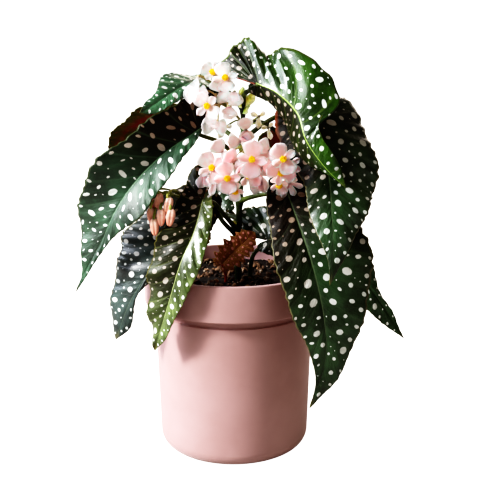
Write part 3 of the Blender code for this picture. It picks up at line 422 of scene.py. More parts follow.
def smooth_noise(at, seed):
    """Return smooth noise from -1 to 1: random corners one unit apart, blended by 3t^2 - 2t^3."""
    corners = np.random.default_rng(seed).uniform(-1, 1, (64, 64))
    low = np.floor(at).astype(int)
    t = at - low
    t = t * t * (3 - 2 * t)
    (x0, y0), (x1, y1) = (np.moveaxis(corner % 64, -1, 0) for corner in (low, low + 1))
    near, far = (corners[x0, y] * (1 - t[..., 0]) + corners[x1, y] * t[..., 0] for y in (y0, y1))
    return near * (1 - t[..., 1]) + far * t[..., 1]


# Meshes. A shape is a dict: points (n, 3) in millimetres, quads (f, 4), marks (f, 4, 4) with two
# pairs of corner data, and slots (f).

def grid_quads(rows, columns, strips):
    """Return the faces of a grid of points numbered row by row, one strip of them after each column.

    With as many strips as columns, the last strip joins the last column to the first.
    """
    i, j = np.meshgrid(np.arange(rows - 1), np.arange(strips), indexing="ij")
    k = (j + 1) % columns
    return np.stack([i * columns + j, i * columns + k, (i + 1) * columns + k, (i + 1) * columns + j],
                    -1).reshape(-1, 4)


def closed_grid(grid, along=0.0, across=0.0, tone=0.0, slots=0):
    """Return the shape of a grid of points whose last column joins its first, one ring to a row.

    The first and last rows are closed because their points meet in one point or pair by pair. Along
    and across go to the map "blade", the pair tone to the map "spots".
    """
    rows, columns = grid.shape[:2]
    quads = grid_quads(rows, columns, columns)
    marks = np.zeros((rows, columns, 4))
    marks[..., 0], marks[..., 1], marks[..., 2:] = along, across, tone
    slots = (np.zeros((rows, columns), int) + slots).ravel()[quads[:, 0]]
    return dict(points=grid.reshape(-1, 3), quads=quads, marks=marks.reshape(-1, 4)[quads], slots=slots)


def outward(shape):
    """Return the shape with its faces pointing out: it is turned over where its volume is negative."""
    a, b, c, d = (shape["points"][shape["quads"][:, k]] for k in range(4))
    if (np.cross(a, b) * c).sum() + (np.cross(a, c) * d).sum() < 0:
        shape = dict(shape, quads=shape["quads"][:, ::-1], marks=shape["marks"][:, ::-1])
    return shape


def merge(groups):
    """Return groups of closed shapes as one shape; each group has its own material slots."""
    shapes = [dict(outward(shape), slots=shape["slots"] + slot)
              for slot, group in groups.items() for shape in group]
    start = 0
    for shape in shapes:
        shape["quads"] = shape["quads"] + start
        start += len(shape["points"])
    return {key: np.concatenate([shape[key] for shape in shapes]) for key in shapes[0]}


def add_object(name, data):
    """Link an object at the origin that holds the data, and return it."""
    item = bpy.data.objects.new(name, data)
    bpy.context.scene.collection.objects.link(item)
    return item


def place_mesh(node, groups, materials, dresses=True):
    """Link a piece: points welded, collapsed corners dropped, marks as UV maps, faces outwards.

    Groups is a dict of lists of shapes by their first material slot. The piece takes the place of
    the node of its name, unless it only lies beside it.
    """
    shape = merge(groups)
    points, inverse = np.unique(np.round(shape["points"], 4), axis=0, return_inverse=True)
    corners = inverse.reshape(-1)[shape["quads"]]
    keep = corners != np.roll(corners, 1, axis=1)
    whole = keep.sum(1) >= 3
    keep, counts = keep[whole], keep[whole].sum(1)
    marks = shape["marks"][whole][keep]
    mesh = bpy.data.meshes.new("begonia_" + node)
    mesh.vertices.add(len(points))
    mesh.loops.add(int(counts.sum()))
    mesh.polygons.add(len(counts))
    for items, key, values, kind in (
            (mesh.vertices, "co", points * MM, np.float32),
            (mesh.loops, "vertex_index", corners[whole][keep], np.int32),
            (mesh.polygons, "loop_start", np.cumsum(counts) - counts, np.int32),
            (mesh.polygons, "loop_total", counts, np.int32),
            (mesh.polygons, "use_smooth", np.ones(len(counts)), bool),
            (mesh.polygons, "material_index", shape["slots"][whole], np.int32)):
        items.foreach_set(key, values.astype(kind).ravel())
    mesh.update(calc_edges=True)
    for name, pair in (("blade", marks[:, :2]), ("spots", marks[:, 2:])):
        mesh.uv_layers.new(name=name).data.foreach_set("uv", pair.astype(np.float32).ravel())
    mesh.validate()
    for material in materials:
        mesh.materials.append(material)
    piece = add_object(mesh.name, mesh)
    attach(piece, BODY)
    if dresses:
        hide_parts(node)


def ring_axes(tangent):
    """Return two directions across a path that turn as little as they can along it."""
    side = np.cross(tangent[0], (0.31, 0.77, 0.55))
    sides = []
    for along in tangent:
        side = unit(side - np.dot(side, along) * along)
        sides.append(side)
    sides = np.array(sides)
    return sides, np.cross(tangent, sides)


def spokes(first, second, sides):
    """Return the directions cos a first + sin a second for even angles a, along a new axis."""
    turn = (2 * np.pi * np.arange(sides) / sides)[:, None]
    return np.cos(turn) * first[..., None, :] + np.sin(turn) * second[..., None, :]


def turned(profile, sides):
    """Return rings (r cos a, r sin a, z), one for each point (r, z) of a profile."""
    radius, level = np.asarray(profile, float).T[..., None]
    turn = 2 * np.pi * np.arange(sides) / sides
    return np.stack([radius * np.cos(turn), radius * np.sin(turn), level + 0 * turn], -1)


def tube(points, radii, rings, sides, tone=(0.5, 0.5), swell=None):
    """Return a round tube: centre(t) + r(t) (cos a side + sin a other), closed by a point at each end."""
    dense, _ = smooth_path(points, TUBE_STEPS)
    picks = np.linspace(0, TUBE_STEPS - 1, rings).astype(int)
    path, tangent = dense[picks], unit(np.gradient(dense, axis=0))[picks]
    share = np.linspace(0, 1, rings)
    radius = np.interp(share, np.linspace(0, 1, len(radii)), radii)
    if swell is not None:
        radius = radius + swell(path, share)
    body = path[:, None] + radius[:, None, None] * spokes(*ring_axes(tangent), sides)
    ends = [np.repeat(body[k:k + 1].mean(1, keepdims=True), sides, 1) for k in (0, rings - 1)]
    grid = np.concatenate([ends[0], body, ends[1]])
    return closed_grid(grid, np.r_[0, share, 1][:, None], np.arange(sides) / sides, tone)


def balls(centres, axes, radii, rows, sides, tones=0.0):
    """Return many balls: centre + r sin(pi u) (cos a across + sin a third) - h cos(pi u) axis.

    Radii holds the radius r across the axis and h along it, for each ball.
    """
    centres, axes = np.asarray(centres, float), unit(axes)
    helper = np.where(np.abs(axes[:, :1]) < 0.8, (1.0, 0, 0), (0, 1.0, 0))
    across = unit(np.cross(axes, helper))
    ring = spokes(across, np.cross(axes, across), sides)[:, None]
    polar = np.pi * np.linspace(0, 1, rows)[:, None, None]
    wide, high = np.asarray(radii, float).T[..., None, None, None]
    grid = centres[:, None, None] + wide * np.sin(polar) * ring - high * np.cos(polar) * axes[:, None, None]
    share = np.linspace(0, 1, rows)[:, None]
    tones = np.zeros((len(centres), 2)) + tones
    return [closed_grid(points, share, 0.0, tone) for points, tone in zip(grid, tones)]


# Leaves.

def leaf_frame(spec, x, across, lift, length, rib):
    """Set along, across and lift coordinates on the frame that follows the midrib."""
    share = np.linspace(0, 1, len(rib))[:, None]
    tangent = unit(np.gradient(rib, axis=0))
    face = np.asarray(spec["face"][0]) * (1 - share) + np.asarray(spec["face"][1]) * share
    normal = unit(face - (face * tangent).sum(1, keepdims=True) * tangent)
    at = np.clip(x / length, 0, 1) * (len(rib) - 1)
    steps = np.arange(len(rib))
    centre, side, up = (np.stack([np.interp(at, steps, table[:, k]) for k in range(3)], -1)
                        for table in (rib, np.cross(normal, tangent), normal))
    behind = np.minimum(x, 0)[..., None] * tangent[0]
    return centre + behind + across[..., None] * side + lift[..., None] * up


def leaf_side(spec, sign, rows, shares, veins):
    """Return one side of a blade in space and laid flat; rows run round the margin, shares outwards.

    With w round the margin and q from the midrib to the margin (cx, cy):
    x = s(w) + (cx - s(w)) q + VEIN_BOW L q (1 - q) sin(pi w), y = cy q, where s is the row's start on
    the midrib. The strip is then bent by the angle fold + bend q^CURL_POWER, to which a cup adds its
    lift on the left side, fading out by a tanh about its row. Margin waves, a bulge between lateral
    veins, a fine ripple near the margin and a groove along the midrib are added to its lift.
    """
    rib, length = smooth_path(spec["rib"], RIB_STEPS)
    left = sign < 0
    side = spec["left"] if left else spec["right"]
    fold, bend = math.radians(spec["fold"][left]), math.radians(spec["bend"][left])
    w, q = rows[:, None], shares[None, :]
    cx, cy = side_outline(w, length, side)
    ends = np.sin(np.pi * w) ** 0.5
    ripple = 2 * np.pi * spec["waves"] * w + LEFT_START * left
    scallops = sum(size * np.sin(often * ripple + first) for size, often, first in SCALLOPS)
    cy = cy * (1 + scallops * ends)
    turn = ((w - FIRST_ROW) / (1 - FIRST_ROW) * spec["tooth_rows"]) % 2
    tooth = 1 + spec["teeth"] * (1 - 2 * np.abs(turn - 1)) * ends
    cx, cy = np.where(w < FAN_SHARE, cx * tooth, cx), cy * tooth
    start = length * np.clip((w - FAN_SHARE) / (1 - FAN_SHARE), 0, 1) ** 1.15
    x = start + (cx - start) * q + VEIN_BOW * length * q * (1 - q) * np.sin(np.pi * w)
    y = cy * q
    cup, row = spec["cup"]
    cupped = left * math.radians(cup) * 0.5 * (1 - np.tanh((w - row) / CUP_FADE))
    angle = fold + bend * q ** CURL_POWER + cupped
    middle = 0.5 * (angle[:, 1:] + angle[:, :-1])
    step = np.diff(y, axis=1)
    flat = np.cumsum(np.hstack([y[:, :1], step * np.cos(middle)]), axis=1)
    lift = np.cumsum(np.hstack([0 * y[:, :1], step * np.sin(middle)]), axis=1)
    bulge = np.sin(np.pi * q ** 0.8) * np.minimum(np.hypot(x - start, y) / BULGE_RISE, 1)
    waves = np.max(side) * 0.7 * spec["wave"] * q ** WAVE_POWER * np.sin(ripple + 0.8)
    quilt = spec["puff"] * (0.5 - 0.5 * np.cos(2 * np.pi * veins * w)) * bulge
    fine = RIPPLE_HEIGHT * q ** 4 * np.sin(RIPPLE_OFTEN * ripple + 2.0)
    lift = lift + (waves + quilt + fine) * ends
    lift = lift - RIB_GROOVE * np.exp(-(y / GROOVE_WIDTH) ** 2) * np.minimum(start / GROOVE_RISE, 1)
    return leaf_frame(spec, x, sign * flat, lift, length, rib), np.stack([x, sign * y], -1)


def grid_normals(grid):
    """Return a normal for each point of a grid, summed from its faces, also where points meet."""
    rows, columns = grid.shape[:2]
    quads = grid_quads(rows, columns, columns - 1)
    flat = grid.reshape(-1, 3)
    _, first, inverse = np.unique(np.round(flat, 4), axis=0, return_index=True, return_inverse=True)
    inverse = inverse.reshape(-1)
    facing = np.cross(flat[quads[:, 2]] - flat[quads[:, 0]], flat[quads[:, 3]] - flat[quads[:, 1]])
    total = np.zeros((len(first), 3))
    for corner in quads.T:
        np.add.at(total, inverse[corner], facing)
    return unit(total)[inverse].reshape(grid.shape)


def spot_table(flat, q, scale, seed, oval):
    """Return spots as rows (x, y, radius along, radius across, angle) on the blade laid flat.

    Sizes are tried from large to small at random places; a spot is kept where it clears the margin,
    the midrib and the spots that are there already.
    """
    random = np.random.default_rng(seed)
    points = flat.reshape(-1, 2)
    share = np.broadcast_to(np.abs(q)[None], flat.shape[:2]).ravel()
    veinwise = np.gradient(flat, axis=1).reshape(-1, 2)
    margin = np.vstack([flat[:, 0], flat[:, -1]])
    low, high = points.min(0), points.max(0)
    spots = np.zeros((0, 5))
    for small, large, room, tries in SPOT_SIZES:
        for x, y in random.uniform(low, high, (tries, 2)):
            radius = random.uniform(small, large) * scale
            stretch = oval * random.uniform(*SPOT_STRETCH)
            twist = random.normal(0, SPOT_TWIST)
            near = np.argmin(((points - (x, y)) ** 2).sum(1))
            inside = np.hypot(*(points[near] - (x, y))) < GRID_REACH and share[near] < LAST_SHARE
            edge = np.hypot(*(margin - (x, y)).T).min()
            radius = min(radius, EDGE_SHARE * edge + EDGE_EXTRA)
            away = np.hypot(spots[:, 0] - x, spots[:, 1] - y) - spots[:, 2] - radius
            clear = edge >= radius + MARGIN_ROOM and abs(y) >= radius + RIB_ROOM
            if inside and clear and np.all(away >= room * scale):
                angle = math.atan2(veinwise[near, 1], veinwise[near, 0]) + twist
                spots = np.vstack([spots, (x, y, radius * stretch, radius / stretch, angle)])
    return spots


def spot_marks(corners, spots):
    """Return where each corner lies in the frame of its face's nearest spot; its edge is at length 1."""
    middle = corners.mean(1)
    away = np.hypot(middle[:, None, 0] - spots[None, :, 0], middle[:, None, 1] - spots[None, :, 1])
    nearest = spots[np.argmin(away - spots[None, :, 2], axis=1)][:, None]
    dx, dy = corners[..., 0] - nearest[..., 0], corners[..., 1] - nearest[..., 1]
    cos, sin = np.cos(nearest[..., 4]), np.sin(nearest[..., 4])
    return np.stack([(cos * dx + sin * dy) / nearest[..., 2], (cos * dy - sin * dx) / nearest[..., 3]], -1)


def leaf_shape(spec, thickness, rows, columns, veins, seed, spot_scale=None):
    """Return a blade with its upper face in slot 0 and its lower face and margin in slot 1.

    The middle surface is moved half the thickness to each side, less towards the margin; below, the
    midrib stands out by RIDGE exp(-(y / RIDGE_WIDTH)^2).
    """
    w = np.linspace(FIRST_ROW, 1, rows)
    q = np.linspace(0, 1, columns + 1) ** 1.25
    sides = [leaf_side(spec, sign, w, q, veins) for sign in (-1, 1)]
    middle, flat = (np.concatenate([left[:, :0:-1], right], axis=1) for left, right in zip(*sides))
    signed = np.r_[-q[:0:-1], q]
    normal = grid_normals(middle)
    if (normal.mean((0, 1)) * spec["face"][0]).sum() < 0:
        normal = -normal
    half = 0.5 * thickness * (1 - MARGIN_THINNING * np.abs(signed) ** 3)[None] * np.ones((rows, 1))
    half[[0, -1]] = 0
    ridge = RIDGE * np.exp(-(flat[..., 1] / RIDGE_WIDTH) ** 2) * (1 - 0.7 * w[:, None])
    ridge = ridge * (np.abs(flat[..., 0]) > 2) * (half > 0)
    bottom = middle - (half + ridge)[..., None] * normal
    grid = np.concatenate([middle + half[..., None] * normal, bottom[:, ::-1]], axis=1)
    under = np.arange(grid.shape[1]) >= len(signed) - 1
    shape = closed_grid(grid, np.r_[signed, signed[::-1]], w[:, None], slots=under)
    laid = np.concatenate([flat, flat[:, ::-1]], axis=1).reshape(-1, 2)
    length = np.linalg.norm(np.diff(smooth_path(spec["rib"], RIB_STEPS)[0], axis=0), axis=1).sum()
    scale = spot_scale or float(np.clip(length / FULL_LENGTH, SMALLEST_SCALE, 1.0))
    spots = spot_table(flat, signed, scale, seed, spec["oval"])
    shape["marks"][..., 2:] = spot_marks(laid[shape["quads"]], spots)
    return shape


def petiole_shape(name, thickness):
    """Return the petiole of a leaf, thicker at its foot, up to the lower face at the junction."""
    spec = LEAVES[name]
    rib, after = np.array(spec["rib"][:2], float)
    along = unit(after - rib)
    face = np.array(spec["face"][0], float)
    normal = unit(face - np.dot(face, along) * along)
    gap = BLADE_OF_SOURCE / 2 + PETIOLE_GAP + 1.6 * math.tan(math.radians(6 - min(*spec["fold"], 0)))
    ends = [rib + along - normal * (gap + 5), rib + along - normal * gap,
            rib + along - normal * 0.2 * thickness]

    def swell(path, share):
        return 0.9 * np.exp(-(share / 0.08) ** 2) + 0.5 * np.exp(-((1 - share) / 0.05) ** 2)

    return tube(PETIOLES[name] + ends, PETIOLE_RADII, 48, 12, swell=swell)


# Flowers.

def flower_frame(facing, spin):
    """Return the right, up and forward directions of a flower's face."""
    forward = unit(facing)
    right = unit(np.cross((0, 0, 1), forward))
    up = np.cross(forward, right)
    cos, sin = math.cos(math.radians(spin)), math.sin(math.radians(spin))
    return cos * right + sin * up, cos * up - sin * right, forward


def petal_shape(root, along, across, normal, length, width, cup, curl, phase, thickness, tone, peak):
    """Return one petal, a thin shell over u along it and v across it.

    Half width h(u) = W/2 sin(pi u^p)^(1/2 + u^3/2), round at the foot, widest at the share peak and
    pointed at the tip; the point is
    root + L u along + h v across + L (cup v^2 u + curl u^2 + 0.035 sin(9 u + phase) |v|^3) normal,
    thickened by (1 - v^2) so that its margin is sharp.
    """
    u = (0.5 - 0.5 * np.cos(np.pi * np.linspace(0, 1, 15)))[:, None]
    v = np.sin(0.5 * np.pi * np.linspace(-1, 1, 11))[None]
    power = math.log(0.5) / math.log(peak)
    wide = 0.5 * width * np.clip(np.sin(np.pi * u ** power), 0, 1) ** (0.5 + 0.5 * u ** 3)
    reach = length * (u + 0.05 * v ** 2 * np.sin(np.pi * u) - 0.04 * u ** 3 * (1 - v ** 2) * math.cos(phase))
    side = v * wide * (1 + 0.04 * np.sin(7 * u + phase))
    lift = cup * v ** 2 * np.minimum(1.6 * u, 1) + curl * u ** 2 - 0.02 * np.exp(-(v / 0.12) ** 2) * u
    lift = length * (lift + 0.035 * np.sin(9 * u + phase) * np.abs(v) ** 3)
    middle = root + reach[..., None] * along + side[..., None] * across + lift[..., None] * normal
    half = (0.5 * thickness * (1 - v ** 2) * np.sin(np.pi * u) ** 0.5)[..., None] * normal
    grid = np.concatenate([middle + half, (middle - half)[:, ::-1]], axis=1)
    return closed_grid(grid, u, np.r_[v[0], v[0][::-1]], tone)


def flower_petals(row, look, random):
    """Return the petals of one flower."""
    _, kind, centre, facing, spin, size = row
    right, up, forward = flower_frame(facing, spin)
    shapes = []
    for angle, length, width, tilt in PETAL_SETS[kind]:
        turn = math.radians(angle + random.uniform(-6, 6))
        lean = math.radians(tilt + random.uniform(-5, 5))
        level = math.cos(turn) * right + math.sin(turn) * up
        along = math.cos(lean) * level + math.sin(lean) * forward
        across = np.cross(forward, level)
        cup, peak = (0.10, 0.60) if width > 0.6 * length else (0.16, 0.66)
        tone = (np.clip(look + random.uniform(-0.2, 0.2), 0, 1), random.uniform(0, 1))
        shapes.append(petal_shape(
            np.asarray(centre, float) - 0.04 * size * along, along, across, np.cross(along, across),
            1.04 * length * size, 1.08 * width * size, cup, curl=random.uniform(0.04, 0.14),
            phase=random.uniform(0, 6.28), thickness=PETAL_THICKNESS, tone=tone, peak=peak))
    return shapes


def bud_shape(centre, spin, size, tone):
    """Return a hanging bud: two flat valves that meet in a seam.

    Its radius is R sin(pi u)^0.75 (0.66 + 0.42 u), less across the valves and in the seam.
    """
    lean = math.radians(spin)
    axis = np.array((math.sin(lean), 0, math.cos(lean)))
    across = unit(np.cross(axis, (0, 1, 0)))
    rows, sides = 25, 24
    u = np.linspace(0, 1, rows)[:, None]
    turn = (2 * np.pi * np.arange(sides) / sides)[None]
    flat = np.abs(np.cos(turn))
    seam = 1 - 0.10 * np.exp(-(flat / 0.2) ** 2) - 0.05 * np.exp(-(np.sin(turn) / 0.25) ** 2)
    radius = 0.66 * size * np.sin(np.pi * u) ** 0.75 * (0.66 + 0.42 * u) * (0.62 + 0.38 * flat) * seam
    height = -1.12 * size * np.cos(np.pi * u)
    ring = spokes(across, np.cross(axis, across), sides)
    grid = centre + radius[..., None] * ring + height[..., None] * axis
    return closed_grid(grid, 1 - u, flat, tone)


def spray_shapes(name, seed):
    """Return the stalks of one spray and its petals or buds, as two lists of shapes."""
    random = np.random.default_rng(seed)
    stalk, _ = smooth_path(PEDUNCLES[name], PEDUNCLE_STEPS)
    rows = FLOWERS[name]
    stalks = [tube(PEDUNCLES[name], (PEDUNCLE_RADIUS, 1.0), 40, 12, (0.2, 0.5))]
    heads = []
    for i, row in enumerate(rows):
        _, kind, centre, facing, spin, size = row
        foot = stalk[FIRST_PEDICEL + (PEDUNCLE_STEPS // 2) * i // len(rows)]
        centre = np.array(centre, float)
        bud = kind == "bud"
        end = centre + (0, 0, 0.8 * size) if bud else centre
        before = end + (0, 0, BUD_NECK) if bud else end - FLOWER_NECK * unit(facing)
        middle = 0.5 * (foot + before) + (0, 0, 1 + 2 * (i % 4))
        tone = (0.6, random.uniform())
        stalks.append(tube([foot, middle, before, end], (PEDICEL_RADIUS, PEDICEL_RADIUS, 1.3), 20, 8, tone))
        if bud:
            heads.append(bud_shape(centre, spin, size, (random.uniform(), random.uniform())))
        else:
            heads += flower_petals(row, PALE_FLUSH if name == "spray_upper" else FULL_FLUSH, random)
    return stalks, heads


def stamen_shapes(centre, facing, spin, seed):
    """Return a tuft of anthers: short clubs set over a dome by the golden angle, on fine filaments."""
    random = np.random.default_rng(seed)
    right, up, forward = flower_frame(facing, spin)
    k = np.arange(ANTHERS)
    ring = TUFT_RADIUS * np.sqrt((k + 0.5) / ANTHERS)
    turn = GOLDEN_ANGLE * k + random.uniform(0, 6)
    height = STAMEN_LIFT + 2.0 * np.sqrt(np.clip(1 - (ring / 2.9) ** 2, 0, 1)) - 1.2
    height = height + random.uniform(-0.35, 0.35, ANTHERS)
    flat = np.cos(turn)[:, None] * right + np.sin(turn)[:, None] * up
    place = np.asarray(centre, float) + ring[:, None] * flat + height[:, None] * forward
    lean = unit(0.16 * ring[:, None] * flat + forward)
    tone = np.stack([random.uniform(0, 1, ANTHERS), np.full(ANTHERS, 0.5)], -1)
    anthers = balls(place, lean, [ANTHER_RADII] * ANTHERS, 6, 7, tone)
    stalks = balls(place - 1.6 * lean, lean, [FILAMENT_RADII] * ANTHERS, 5, 5, tone)
    core = balls([np.asarray(centre, float) + 1.2 * forward], [forward], [CORE_RADII], 7, 12, (0.1, 0.5))
    return anthers + stalks + core


# Materials.

# Kinds of node: its type, the inputs that values are given for in turn, the output and the settings.
KINDS = {
    "step": ("MapRange", (0, 1, 2, 3, 4), 0, {"interpolation_type": "SMOOTHSTEP"}),
    "blend": ("Mix", (0, 6, 7), 2, {"data_type": "RGBA"}),
    "between": ("Mix", (0, 2, 3), 0, {}),
    "times": ("Math", (0, 1), 0, {"operation": "MULTIPLY"}),
    "plus": ("Math", (0, 1), 0, {"operation": "ADD"}),
    "times plus": ("Math", (0, 1, 2), 0, {"operation": "MULTIPLY_ADD"}),
    "to and fro": ("Math", (0, 1), 0, {"operation": "PINGPONG"}),
    "absolute": ("Math", (0,), 0, {"operation": "ABSOLUTE"}),
    "length": ("VectorMath", (0,), 1, {"operation": "LENGTH"}),
    "stretch": ("VectorMath", (0, 1), 0, {"operation": "MULTIPLY"}),
    "first": ("SeparateXYZ", (0,), 0, {}),
    "second": ("SeparateXYZ", (0,), 1, {}),
    "blade map": ("UVMap", (), 0, {"uv_map": "blade"}),
    "spots map": ("UVMap", (), 0, {"uv_map": "spots"}),
    "place": ("TexCoord", (), "Object", {}),
    "noise": ("TexNoise", ("Vector", "Scale", "Detail", "Roughness"), 0, {}),
    "bump": ("Bump", ("Height", "Strength", "Distance"), 0, {}),
    "shader": ("BsdfPrincipled", (), 0, {}),
    "surface": ("OutputMaterial", ("Surface",), None, {}),
    "seen directly": ("LightPath", (), "Is Camera Ray", {}),
    "background": ("Background", (0, 1), 0, {}),
    "either": ("MixShader", (0, 1, 2), 0, {}),
    "surroundings": ("OutputWorld", ("Surface",), None, {}),
}


def add_node(tree, kind, *values, **named):
    """Add a node of one of the KINDS, set its inputs or link them to sockets, and return its output.

    A hex value is a colour. The name of a named input has underscores in the place of its spaces.
    """
    name, places, output, settings = KINDS[kind]
    node = tree.nodes.new("ShaderNode" + name)
    for key, value in settings.items():
        setattr(node, key, value)
    inputs = dict(zip(places, values)) | {key.replace("_", " "): value for key, value in named.items()}
    for key, value in inputs.items():
        if isinstance(value, bpy.types.NodeSocket):
            tree.links.new(value, node.inputs[key])
        else:
            node.inputs[key].default_value = (*hex_colour(value), 1) if isinstance(value, str) else value
    return None if output is None else node.outputs[output]


def new_material(name):
    """Return an empty node material and the function that adds nodes to it."""
    material = bpy.data.materials.new(name)
    material.use_nodes = True
    material.node_tree.nodes.clear()
    return material, partial(add_node, material.node_tree)


def finish_material(material, grain=None, **looks):
    """Add the shader and the output. Grain is the bumps' height, strength and size in millimetres."""
    add = partial(add_node, material.node_tree)
    if grain:
        height, strength, size_mm = grain
        looks["Normal"] = add("bump", height, strength, size_mm * MM)
    add("surface", add("shader", **looks))
    return material


def clouds(add, size_mm, detail=3.0):
    """Return noise on Object coordinates whose clouds are about size_mm across."""
    return add("noise", add("place"), 1 / (size_mm * MM), detail, 0.55)


def coat(add, colour, *layers):
    """Lay colours over a colour, each with a share that follows a value by a smooth step.

    A layer is its colour, the value, where the step starts and ends and, if they aren't 0 and 1, the
    shares there.
    """
    for cover, *span in layers:
        colour = add("blend", add("step", *span), colour, cover)
    return colour


def leaf_material(name, spec, colours, spot, veins):
    """Living begonia blade, waxy cuticle: dark green cells, silver-white air-filled spots.

    The spots come from the "spots" map, the veins and the margin from the "blade" map. The cuticle
    gives a broad satin gloss that the bulges between the veins break into streaks. The "dusk" of the
    left and the right half is painted shade: how far that half is darkened to black-brown near the
    petiole, and the rows where that fades; there the spots are painted a shaded beige and the cuticle
    is duller. The "gloss" is the weight and the roughness of the cuticle, the "blush" the side whose
    margin is orange red and its last row, and "pale" how much the lateral veins stand out.
    """
    deep, light, rib, edge = colours
    gloss, sheen = spec["gloss"]
    red_side, red_end = spec["blush"]
    material, add = new_material(name)
    blade = add("blade map")
    side, row = add("first", blade), add("second", blade)
    across = add("absolute", side)
    between_veins = add("to and fro", add("times", row, float(veins)), 0.5)
    colour = coat(
        add, deep, (light, clouds(add, 26), 0.36, 0.66),
        (light, clouds(add, 1.6, 2.0), 0.35, 0.75, 0.0, 0.3))
    # Painted shade: each half is blended towards black-brown near the petiole, fading out over the given
    # rows.
    left, right = (add("step", row, first, last, most, 0.0) for most, first, last in spec["dusk"])
    dusk = add("between", add("step", side, -0.12, 0.12), left, right)
    colour = coat(
        add, add("blend", dusk, colour, "#1b1409"),
        (rib, between_veins, 0.0, 0.07, spec["pale"], 0.0), (rib, across, 0.008, 0.03, 0.8, 0.0),
        (edge, across, 0.95, 0.985), (edge, row, 0.95, 0.995, 0.0, 0.85))
    if red_side:
        outer = add("step", side, 0.84 * red_side, 0.97 * red_side, 0.0, 0.9)
        rows = add("step", row, red_end - 0.1, red_end, 1.0, 0.0)
        colour = add("blend", add("times", outer, rows), colour, "#8f4a26")
    reach = add("length", add("spots map"))
    loose = add("times plus", clouds(add, 2.2, 1.0), 0.28, reach)
    # Painted shade on the spots: in the darkened zone they turn a shaded beige.
    dot = add("blend", dusk, spot, "#8e7d6d")
    colour = coat(add, colour, (dot, loose, 1.02, 1.22, 1.0, 0.0))
    streaks = add("noise", add("stretch", blade, (2.4, 62.0, 0.0)), 1.0, 2.0, 0.5)
    height = add("times plus", streaks, 3.2, clouds(add, 1.1, 2.0))
    return finish_material(
        material, (height, 0.6, 0.6), Base_Color=colour, IOR=1.36, Coat_Roughness=sheen,
        Roughness=add("step", dusk, 0.0, 1.0, 0.42, 0.5),
        Coat_Weight=add("step", dusk, 0.0, 1.0, gloss, 0.1 * gloss))


def underside_material(name, wine, green, rib):
    """Lower face of a begonia leaf, soft and matte: wine red with paler ribs and faint spots."""
    material, add = new_material(name)
    across = add("absolute", add("first", add("blade map")))
    reach = add("length", add("spots map"))
    colour = coat(
        add, wine, (green, clouds(add, 18), 0.4, 0.7), (rib, across, 0.01, 0.05, 0.8, 0.0),
        (green, across, 0.55, 0.92), (rib, reach, 0.8, 1.15, 0.3, 0.0))
    return finish_material(
        material, (clouds(add, 1.4), 0.4, 0.4), Base_Color=colour, Roughness=0.5, IOR=1.42)


def stem_material(name, dark, light, scar):
    """Begonia cane, smooth green bark: olive, clouded lighter, with pale lenticels."""
    material, add = new_material(name)
    colour = coat(
        add, dark, (light, clouds(add, 14), 0.35, 0.65), (scar, clouds(add, 1.3, 1.0), 0.66, 0.74))
    return finish_material(
        material, (clouds(add, 1.0), 0.4, 0.3), Base_Color=colour, Roughness=0.45, IOR=1.45)


def petal_material(name, white, pink, deep):
    """Begonia petal, thin wet tissue: white to rose with a satin glitter and light passing through."""
    material, add = new_material(name)
    blade = add("blade map")
    across = add("absolute", add("second", blade))
    flush = add("first", add("spots map"))
    for value, low, high, start, end in (
            (across, 0.5, 1.0, 0.12, -0.35), (add("first", blade), 0.0, 0.45, 0.35, 0.0),
            (clouds(add, 7), 0.3, 0.7, -0.15, 0.15)):
        flush = add("plus", flush, add("step", value, low, high, start, end))
    return finish_material(
        material, (clouds(add, 0.9, 2.0), 0.25, 0.2), Roughness=0.42, IOR=1.4,
        Base_Color=coat(add, white, (pink, flush, 0.2, 0.9), (deep, flush, 0.95, 1.35)),
        Subsurface_Weight=1.0, Subsurface_Radius=(0.008, 0.005, 0.0045), Subsurface_Scale=1.0)


def bud_material(name, pale, rose, deep):
    """Closed begonia bud, plump petals: salmon rose, paler near the stalk, deeper at the tip and in clouds.
    """
    material, add = new_material(name)
    tip = add("first", add("blade map"))
    colour = coat(add, pale, (rose, tip, 0.1, 0.9), (deep, clouds(add, 5), 0.45, 0.75, 0.0, 0.6))
    return finish_material(
        material, Base_Color=colour, Roughness=0.4, IOR=1.4, Subsurface_Weight=0.25,
        Subsurface_Radius=(0.004, 0.0015, 0.001), Subsurface_Scale=1.0)


def plain_material(name, first, second, size_mm, roughness, bump_mm, thin=0.0):
    """Matte natural stuff in two colours, clouded at one size and rough at another.

    The "thin" share of the light spreads inside it.
    """
    material, add = new_material(name)
    colour = coat(add, first, (second, clouds(add, size_mm), 0.35, 0.65))
    return finish_material(
        material, (clouds(add, bump_mm), 0.7, 0.6), Base_Color=colour, Roughness=roughness,
        Subsurface_Weight=thin, Subsurface_Radius=(0.008, 0.005, 0.003), Subsurface_Scale=1.0)


def pot_material(name, blush, pale):
    """Stoneware with a matte blush engobe: even, powdery, very faint mottling and fine grit."""
    material, add = new_material(name)
    colour = coat(add, blush, (pale, clouds(add, 40), 0.3, 0.7))
    return finish_material(
        material, (clouds(add, 0.8), 0.12, 0.2), Base_Color=colour, Roughness=0.5, IOR=1.5,
        Sheen_Weight=0.25, Sheen_Roughness=0.5)


# Settings that a user would change.

def length_setting(name, description, default):
    """Return a setting that is a length in metres."""
    return FloatProperty(name=name, description=description, default=default, unit="LENGTH")


def colour_setting(name, description, code):
    """Return a setting that is a colour, given as a hex value."""
    return FloatVectorProperty(
        name=name, description=description, subtype="COLOR", size=3, default=hex_colour(code))


class BegoniaPot(bpy.types.PropertyGroup):
    rim_radius: length_setting("Rim radius", "Outer radius of the rim", 0.080)
    height: length_setting("Height", "Height of the pot", 0.1674)
    rim_bottom: length_setting("Rim bottom", "Height of the rim's lower edge", 0.1362)
    body_radius: length_setting("Body radius", "Radius of the body under the groove", 0.0708)
    foot_radius: length_setting("Foot radius", "Radius of the body above the foot", 0.0673)
    colour: colour_setting("Glaze", "Colour of the matte coat", "#b79492")


